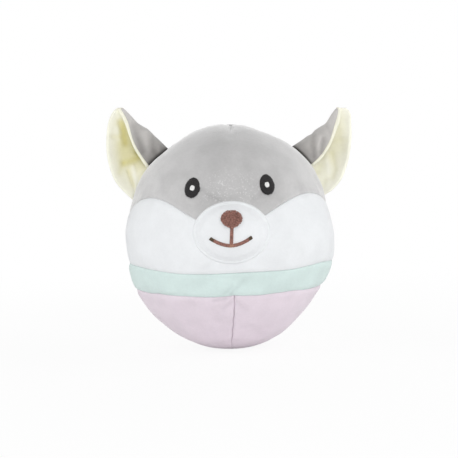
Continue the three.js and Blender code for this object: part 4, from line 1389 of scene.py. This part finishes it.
def seen_ear(points, edges):
    """Places of an ear as seen from the front: out from the middle, and height."""
    return points_at(points[..., 0] * edges["side"], points[..., 2])


def ear_folds(edges, middle, across, up, seed):
    """Creases and the gathers above the sewn base, as a lift toward the outer side."""
    seen = seen_ear(middle, edges)
    on_flap = smooth((across - EAR_WALL_SHARE) / EAR_FOLD_SHARE)
    creases = along_lines(seen, edges["wall_creases"]) * (1 - on_flap)
    creases = creases - along_lines(seen, edges["flap_creases"]) * FLAP_CREASE_DEPTH * on_flap
    gathers = 0.5 * ripple(across * 52, seed, 0.5, 1.2, waves=4) * np.exp(-up / 0.12)
    drift = 0.35 * ripple(across * 9 + up * 7, seed + 1, 0.6, 1.4, waves=4)
    return creases + (gathers + drift) * smooth((1 - up) / 0.3)


def edge_pace(edges, ups, at, step):
    """How many millimetres the ear runs for a share of its width, beside one of its edges."""
    here, ahead = (ear_middle(edges, np.full_like(ups, share), ups) for share in (at, at + step))
    return np.linalg.norm(ahead - here, axis=-1) / abs(step)


def ear_grids(edges, seed, profile):
    """One layer of the ear, from its seam beside the rim over the turned edge to its middle."""
    setback, widening, height = np.array(profile, float).T
    count = len(profile)
    turned_in, last = np.arange(count), count - 1
    row_setback = setback * EAR_HALF_THICKNESS * EAR_TIP_THINNING * EAR_TIP_ROUNDING
    shares = np.concatenate([np.linspace(0, 1, EAR_ROWS)[:-1], np.ones(count)])
    row = np.concatenate([np.full(EAR_ROWS - 1, last), turned_in[::-1]])[:, None]
    column = np.concatenate([turned_in, np.full(EAR_COLUMNS - 2, last), turned_in[::-1]])[None, :]
    ups = shares * (1 - row_setback[row[:, 0]] / EAR_LENGTH)
    lateral_pace, rim_pace = edge_pace(edges, ups, 0.0, 1e-3), edge_pace(edges, ups, 1.0, -1e-3)
    thickness = EAR_HALF_THICKNESS * ear_thinning(ups)
    band = edges["band"] * smooth((ups - 0.4) / 0.45) + EAR_BAND_BASE * smooth((0.3 - ups) / 0.3)
    narrow = 0.33 * (EAR_FLAP_SHARE * rim_pace)
    band = (band + narrow - np.sqrt((band - narrow) ** 2 + 0.15)) / 2
    lines = np.arange(len(ups))[:, None]
    lateral = setback[None, :] * thickness[:, None]
    rim = lateral + widening[None, :] * band[:, None]
    # where two turned edges meet, each line stops at the mitre between them
    row_mm = np.where(row > column, np.maximum(row_setback[row], row_setback[column]), row_setback[row])
    lateral_mm, rim_mm = (
        np.where(column > row, np.maximum(side[lines, column], side[lines, row]), side[lines, column])
        for side in (lateral, rim)
    )
    up = shares[:, None] * (1 - row_mm / EAR_LENGTH)
    left = lateral_mm[:, :count] / lateral_pace[:, None]
    right = 1 - rim_mm[:, -count:] / rim_pace[:, None]
    inside = lerp(left[:, -1:], right[:, :1], np.linspace(0, 1, EAR_COLUMNS)[None, 1:-1])
    across = np.concatenate([left, inside, right], axis=1)
    across_in, up_in = (np.clip(value, EAR_MARGIN, 1 - EAR_MARGIN) for value in (across, up))
    ways = []
    for over, upward in ((EAR_MARGIN, 0), (0, EAR_MARGIN)):
        ahead = ear_middle(edges, across_in + over, up_in + upward)
        ways.append(ahead - ear_middle(edges, across_in - over, up_in - upward))
    normal = unit(np.cross(*ways)) * edges["side"]
    middle = ear_middle(edges, across, up)
    middle = middle + normal * ear_folds(edges, middle, across, up, seed)[..., None]
    return middle, normal, height[np.minimum(row, column)] * thickness[:, None]


def shade_cup(piece, face, edges):
    """Painted shade, darker and yellower, down in the ear's cup, in its creases and a little along its rim.
    """
    places = vertices_of(piece.data)
    from_edge = nearest_mm(places, np.concatenate([face[:, 0], face[-1]]))
    from_rim = nearest_mm(places, face[:, -1])
    inside = smooth((from_rim - 2.5) / 4)
    high = smooth((places[:, 2] - 122) / 15)
    depth = smooth((from_edge - 2) / 9) * inside * (0.14 + 0.46 * high)
    depth += 0.1 * smooth((from_edge - 1.5) / 2) * smooth((from_rim - 2) / 2)
    depth += 0.28 * along_lines(seen_ear(places, edges), edges["wall_creases"]) * inside
    rim = 1 - smooth((from_rim - 2) / 2.5)
    store_painted_shade_share(piece, depth * edges["cup_painted_shade"] + 0.1 * rim)


def shade_flap(piece, edges):
    """Painted shade toward the head and in the creases, and a painted crevice shadow where the ear is sewn
    on.
    """
    seen = seen_ear(vertices_of(piece.data), edges)
    side = edges["side"] * QUARTER
    latitude = latitude_at(HEAD_SIDE_HEIGHTS)
    head = body_point(side, latitude)
    head = head + body_normal(side, latitude) * (stuffing_lift(head) - 0.4)[:, None]
    away = nearest_mm(seen, seen_ear(head, edges))
    depth = edges["foot_painted_shade"] * (1 - smooth(away / 40)) + 0.2 * (1 - smooth(away / 9))
    depth += 0.17 * along_lines(seen, edges["flap_creases"])
    # painted shadow: nearly black in the crevice beside the head
    crevice_shadow = smooth((edges["crevice_shadow"] - away) / edges["crevice_shadow"])
    store_painted_shade_share(piece, lerp(np.clip(depth, 0, 0.7), 1.0, crevice_shadow))


EAR_LAYERS = [
    ("outer", OUTER_PROFILE, EAR_GREY, "ear_grey_plush"),
    ("inner", INNER_PROFILE, EAR_CREAM, "ear_cream_plush"),
]


def ear(label, edges, seed):
    """One ear: two layers of plush and the wadding between them."""

    def sew_on(piece, slot, part):
        dress(piece, None, slot, f"ear_{label}_{part}")
        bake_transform(piece)

    for kind, profile, material, slot in EAR_LAYERS:
        middle, normal, height = ear_grids(edges, seed, profile)
        face = middle + normal * height[..., None]
        lining = middle + normal * (height * (1 - EAR_FABRIC / EAR_HALF_THICKNESS))[..., None]
        piece = sheet(f"ear_{label}_{kind}_panel", face, lining, material)
        if kind == "inner":
            shade_cup(piece, face, edges)
        else:
            shade_flap(piece, edges)
        sew_on(piece, slot, kind)
    # the wadding lies between the layers, clear of their turned edges
    middle, normal, _ = ear_grids(edges, seed, OUTER_PROFILE)
    middle, normal = middle[4:-7, 7:-7], normal[4:-7, 7:-7]
    rows, columns = (np.arange(size) for size in middle.shape[:2])
    lumps = 0.12 * np.sin(rows)[:, None] * np.cos(columns)[None, :]
    half = normal * (WADDING_HALF_THICKNESS + lumps)[..., None]
    wadding = sheet(f"ear_{label}_padding", middle + half, middle - half, FILL)
    sew_on(wadding, "stuffing", "wadding")


for seed, (label, edges) in enumerate(EAR_EDGES.items()):
    ear(label, edges, 50 + seed)


# Stuffing: two wads with a pocket between them for the squeaker
POCKET_RADIUS = 19.0
POCKET_HALF_HEIGHT = 15.3
POCKET_MIDDLE = 77.0
WAD_INSET = 3.6
WAD_HALF_GAP = 0.15


def pocket(name):
    """The room round the squeaker, as a shape to cut out of the stuffing."""
    heights = np.linspace(-POCKET_HALF_HEIGHT, POCKET_HALF_HEIGHT, 13)
    turn, height = np.meshgrid(turns_round(48), heights)
    radius = POCKET_RADIUS + 0.4 * np.sin(turn * 5 + height * 0.3)
    wall = points_at(radius * np.cos(turn), radius * np.sin(turn), POCKET_MIDDLE + height)
    grid = np.concatenate([wall[:1] * (0, 0, 1), wall, wall[-1:] * (0, 0, 1)]) + BODY_MIDDLE
    return closed_object(name, grid, grid_faces(*grid.shape[:2], wraps=True), FILL)


def wad(name, side, node_name):
    """Half of the stuffing. side is -1 in front and 1 behind."""
    middle = 0 if side < 0 else math.pi
    angles = np.linspace(middle - QUARTER, middle + QUARTER, 49)
    angle, latitude = np.meshgrid(angles, np.linspace(-QUARTER, QUARTER, 61))
    points = body_point(angle, latitude)
    normals = body_normal(angle, latitude)
    lumps = 0.35 * ripple(points[..., 0], 101, 0.1, 0.5) * ripple(points[..., 2], 102, 0.1, 0.5)
    surface = points - normals * (WAD_INSET + lumps - np.minimum(stuffing_lift(points), 0))[..., None]
    flat = side * WAD_HALF_GAP
    surface[..., 1] = np.where(side * surface[..., 1] < WAD_HALF_GAP, flat, surface[..., 1])
    surface[:, 0, 1] = surface[:, -1, 1] = flat
    back = surface * (1, 0, 1) + (0, flat, 0)
    made = sheet(name, surface + BODY_MIDDLE, back + BODY_MIDDLE, FILL)
    cutter = pocket(f"{name}_pocket")
    cut = made.modifiers.new("pocket", "BOOLEAN")
    cut.operation = "DIFFERENCE"
    cut.solver = "EXACT"
    cut.object = cutter
    result = evaluated(made)
    made.modifiers.clear()
    made.data = result
    bpy.data.objects.remove(cutter)
    dress(made, "root", "stuffing", node_name)


wad("stuffing_front", -1, "fill_front")
wad("stuffing_rear", 1, "fill_rear")


# Closing stitch: one thread that crosses the drawn-in back seam from side to side
LADDER_BOTTOM = 63.0
LADDER_TOP = 93.0
LADDER_STEP = 1.5
LADDER_REACH = 1.7
LADDER_THREAD = (0.75, 0.65)


def closing_stitch():
    count = round((LADDER_TOP - LADDER_BOTTOM) / LADDER_STEP)
    step = np.arange(count + 1)
    heights = lerp(LADDER_BOTTOM, LADDER_TOP, step / count)
    corners = points_at(np.where(step % 2, -LADDER_REACH, LADDER_REACH), heights)
    shares = np.array([0, 0.12, 0.3, 0.5, 0.7, 0.88])[None, :, None]
    path = lerp(corners[:-1, None], corners[1:, None], shares).reshape(-1, 2)
    path = np.concatenate([path, corners[-1:]])
    path[1:-1] = (path[:-2] + 2 * path[1:-1] + path[2:]) / 4
    x, z = path.T
    halfway = (LADDER_BOTTOM + LADDER_TOP) / 2
    seat = skin_at(np.array([-2.5, 2.5]), halfway, side=1)
    offset = float(np.mean(seat)) - (BODY_MIDDLE_Y + float(front_depth(2.5, halfway)))
    y = BODY_MIDDLE_Y + front_depth(x, z) + offset + 0.15 - 0.45 * bell(x, 0.9)
    points = points_at(x, y, z)[None]
    normals = np.broadcast_to(np.array([0.0, 1.0, 0.0]), points.shape)
    thread = thread_object("closing_stitch_thread", points, normals, *LADDER_THREAD, GREY_THREAD, sides=10)
    dress(thread, "root", "grey_thread", "closing_stitch")


closing_stitch()


# Carried-over squeaker pieces
CARRIED = {
    "squeaker_base": SOFT_PLASTIC,
    "squeaker_bellows": SOFT_PLASTIC,
    "squeaker_top": SOFT_PLASTIC,
    "squeaker_reed_holder": HOLDER_PLASTIC,
    "squeaker_reed": REED_PLASTIC,
}
for node_name, material in CARRIED.items():
    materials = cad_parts[node_name].data.materials
    materials.clear()
    materials.append(material)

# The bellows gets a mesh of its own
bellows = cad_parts["squeaker_bellows"]
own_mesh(bellows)


# Floor, light and camera, in metres
FLOOR_COLOUR = (0.94, 0.94, 0.94, 1)
FLOOR_RADII = (0.0, 0.3, 1.0, 4.0, 20.0)
WORLD_STRENGTH = 0.4
LIGHT_TARGET = Vector((0, 0, 0.08))
LIGHTS = {
    # place, size and power
    "front": ((0.25, -1.3, 0.45), 0.9, 5.4),
    "low_front": ((-0.2, -1.2, 0.08), 0.9, 4.7),
    "left_side": ((-1.05, -0.1, 0.45), 1.0, 4.3),
    "right_side": ((1.0, 0.0, 0.5), 1.0, 4.6),
    "back": ((0.1, 0.8, 0.9), 0.9, 1.6),
    "low_back": ((0.15, 1.25, 0.2), 0.9, 3.4),
}
CAMERA_TARGET = Vector((0, BODY_MIDDLE_Y, 82.9)) * MM
CAMERA_DISTANCE = 0.8
CAMERA_ELEVATION = math.radians(3.5)
CAMERA_AZIMUTH = math.radians(-1.25)
CAMERA_ROLL = math.radians(-2.0)
VIEW_WIDTH = 0.3206
IMAGE_PIXELS = 458
SENSOR_WIDTH = 36


def empty_nodes(owner):
    owner.use_nodes = True
    owner.node_tree.nodes.clear()
    return owner


def either_ray(owner, *rays):
    """1 for light paths of the named kinds, otherwise 0."""
    path = node(owner, "LightPath").outputs
    found = path[rays[0]]
    for ray in rays[1:]:
        found = node(owner, "Math", {0: found, 1: path[ray]}, operation="MAXIMUM").outputs[0]
    return found


def mix_shaders(owner, share, first, second, output):
    mix = node(owner, "MixShader", {0: share, 1: first.outputs[0], 2: second.outputs[0]})
    node(owner, output, {"Surface": mix.outputs[0]})


def stage_material():
    """A pale floor that shows near white to the camera and keeps the toy's shadow near the toy."""
    material = empty_nodes(bpy.data.materials.new("pale_floor"))
    place = node(material, "TexCoord").outputs["Object"]
    away = node(material, "VectorMath", {0: place}, operation="LENGTH").outputs["Value"]
    fade = node(
        material, "MapRange", {"Value": away}, interpolation_type="SMOOTHSTEP",
        From_Min=0.08, From_Max=0.6, To_Min=0.9,
    )
    shares = {0: either_ray(material, "Is Camera Ray", "Is Glossy Ray"), 1: fade.outputs["Result"]}
    share = node(material, "Math", shares, operation="MULTIPLY").outputs[0]
    diffuse = node(material, "BsdfDiffuse", Color=FLOOR_COLOUR)
    glow = node(material, "Emission", Color=WHITE, Strength=1.0)
    mix_shaders(material, share, diffuse, glow, "OutputMaterial")
    return material


def floor():
    """A wide round floor that runs out to where the white world takes over."""
    radius, turn = np.meshgrid(FLOOR_RADII, turns_round(64), indexing="ij")
    grid = points_at(radius * np.cos(turn), radius * np.sin(turn), np.zeros_like(turn))
    made = closed_object("floor", grid / MM, grid_faces(*grid.shape[:2], wraps=True), stage_material())


def area_light(name, place, size, power):
    light = bpy.data.lights.new(name, "AREA")
    light.shape = "DISK"
    light.size = size
    light.energy = power
    made = bpy.data.objects.new(name, light)
    made.location = place
    made.rotation_euler = (LIGHT_TARGET - Vector(place)).to_track_quat("-Z", "Y").to_euler()
    bpy.context.scene.collection.objects.link(made)


def studio_world():
    """Even light from all round, which shows plain white where nothing stands in front of it."""
    world = empty_nodes(bpy.data.worlds.new("studio"))
    bpy.context.scene.world = world
    seen = either_ray(world, "Is Camera Ray", "Is Glossy Ray", "Is Transmission Ray")
    light = node(world, "Background", Color=WHITE, Strength=WORLD_STRENGTH)
    white = node(world, "Background", Color=WHITE, Strength=1.0)
    mix_shaders(world, seen, light, white, "OutputWorld")


def front_camera():
    """A camera before the toy's face, turned as the photograph is."""
    data = bpy.data.cameras.new("camera")
    camera = bpy.data.objects.new("camera", data)
    bpy.context.scene.collection.objects.link(camera)
    away = Vector((
        math.sin(CAMERA_AZIMUTH) * math.cos(CAMERA_ELEVATION),
        -math.cos(CAMERA_AZIMUTH) * math.cos(CAMERA_ELEVATION),
        math.sin(CAMERA_ELEVATION),
    ))
    place = CAMERA_TARGET + away * CAMERA_DISTANCE
    facing = away.to_track_quat("Z", "Y").to_matrix().to_4x4()
    camera.matrix_world = Matrix.Translation(place) @ facing @ Matrix.Rotation(CAMERA_ROLL, 4, "Z")
    data.sensor_width = SENSOR_WIDTH
    data.lens = SENSOR_WIDTH * CAMERA_DISTANCE / VIEW_WIDTH
    data.shift_x = -0.5 / IMAGE_PIXELS
    data.clip_start = 0.01
    bpy.context.scene.camera = camera


floor()
for name, (place, size, power) in LIGHTS.items():
    area_light(name, place, size, power)
studio_world()
front_camera()
bpy.context.scene.view_settings.view_transform = "Standard"
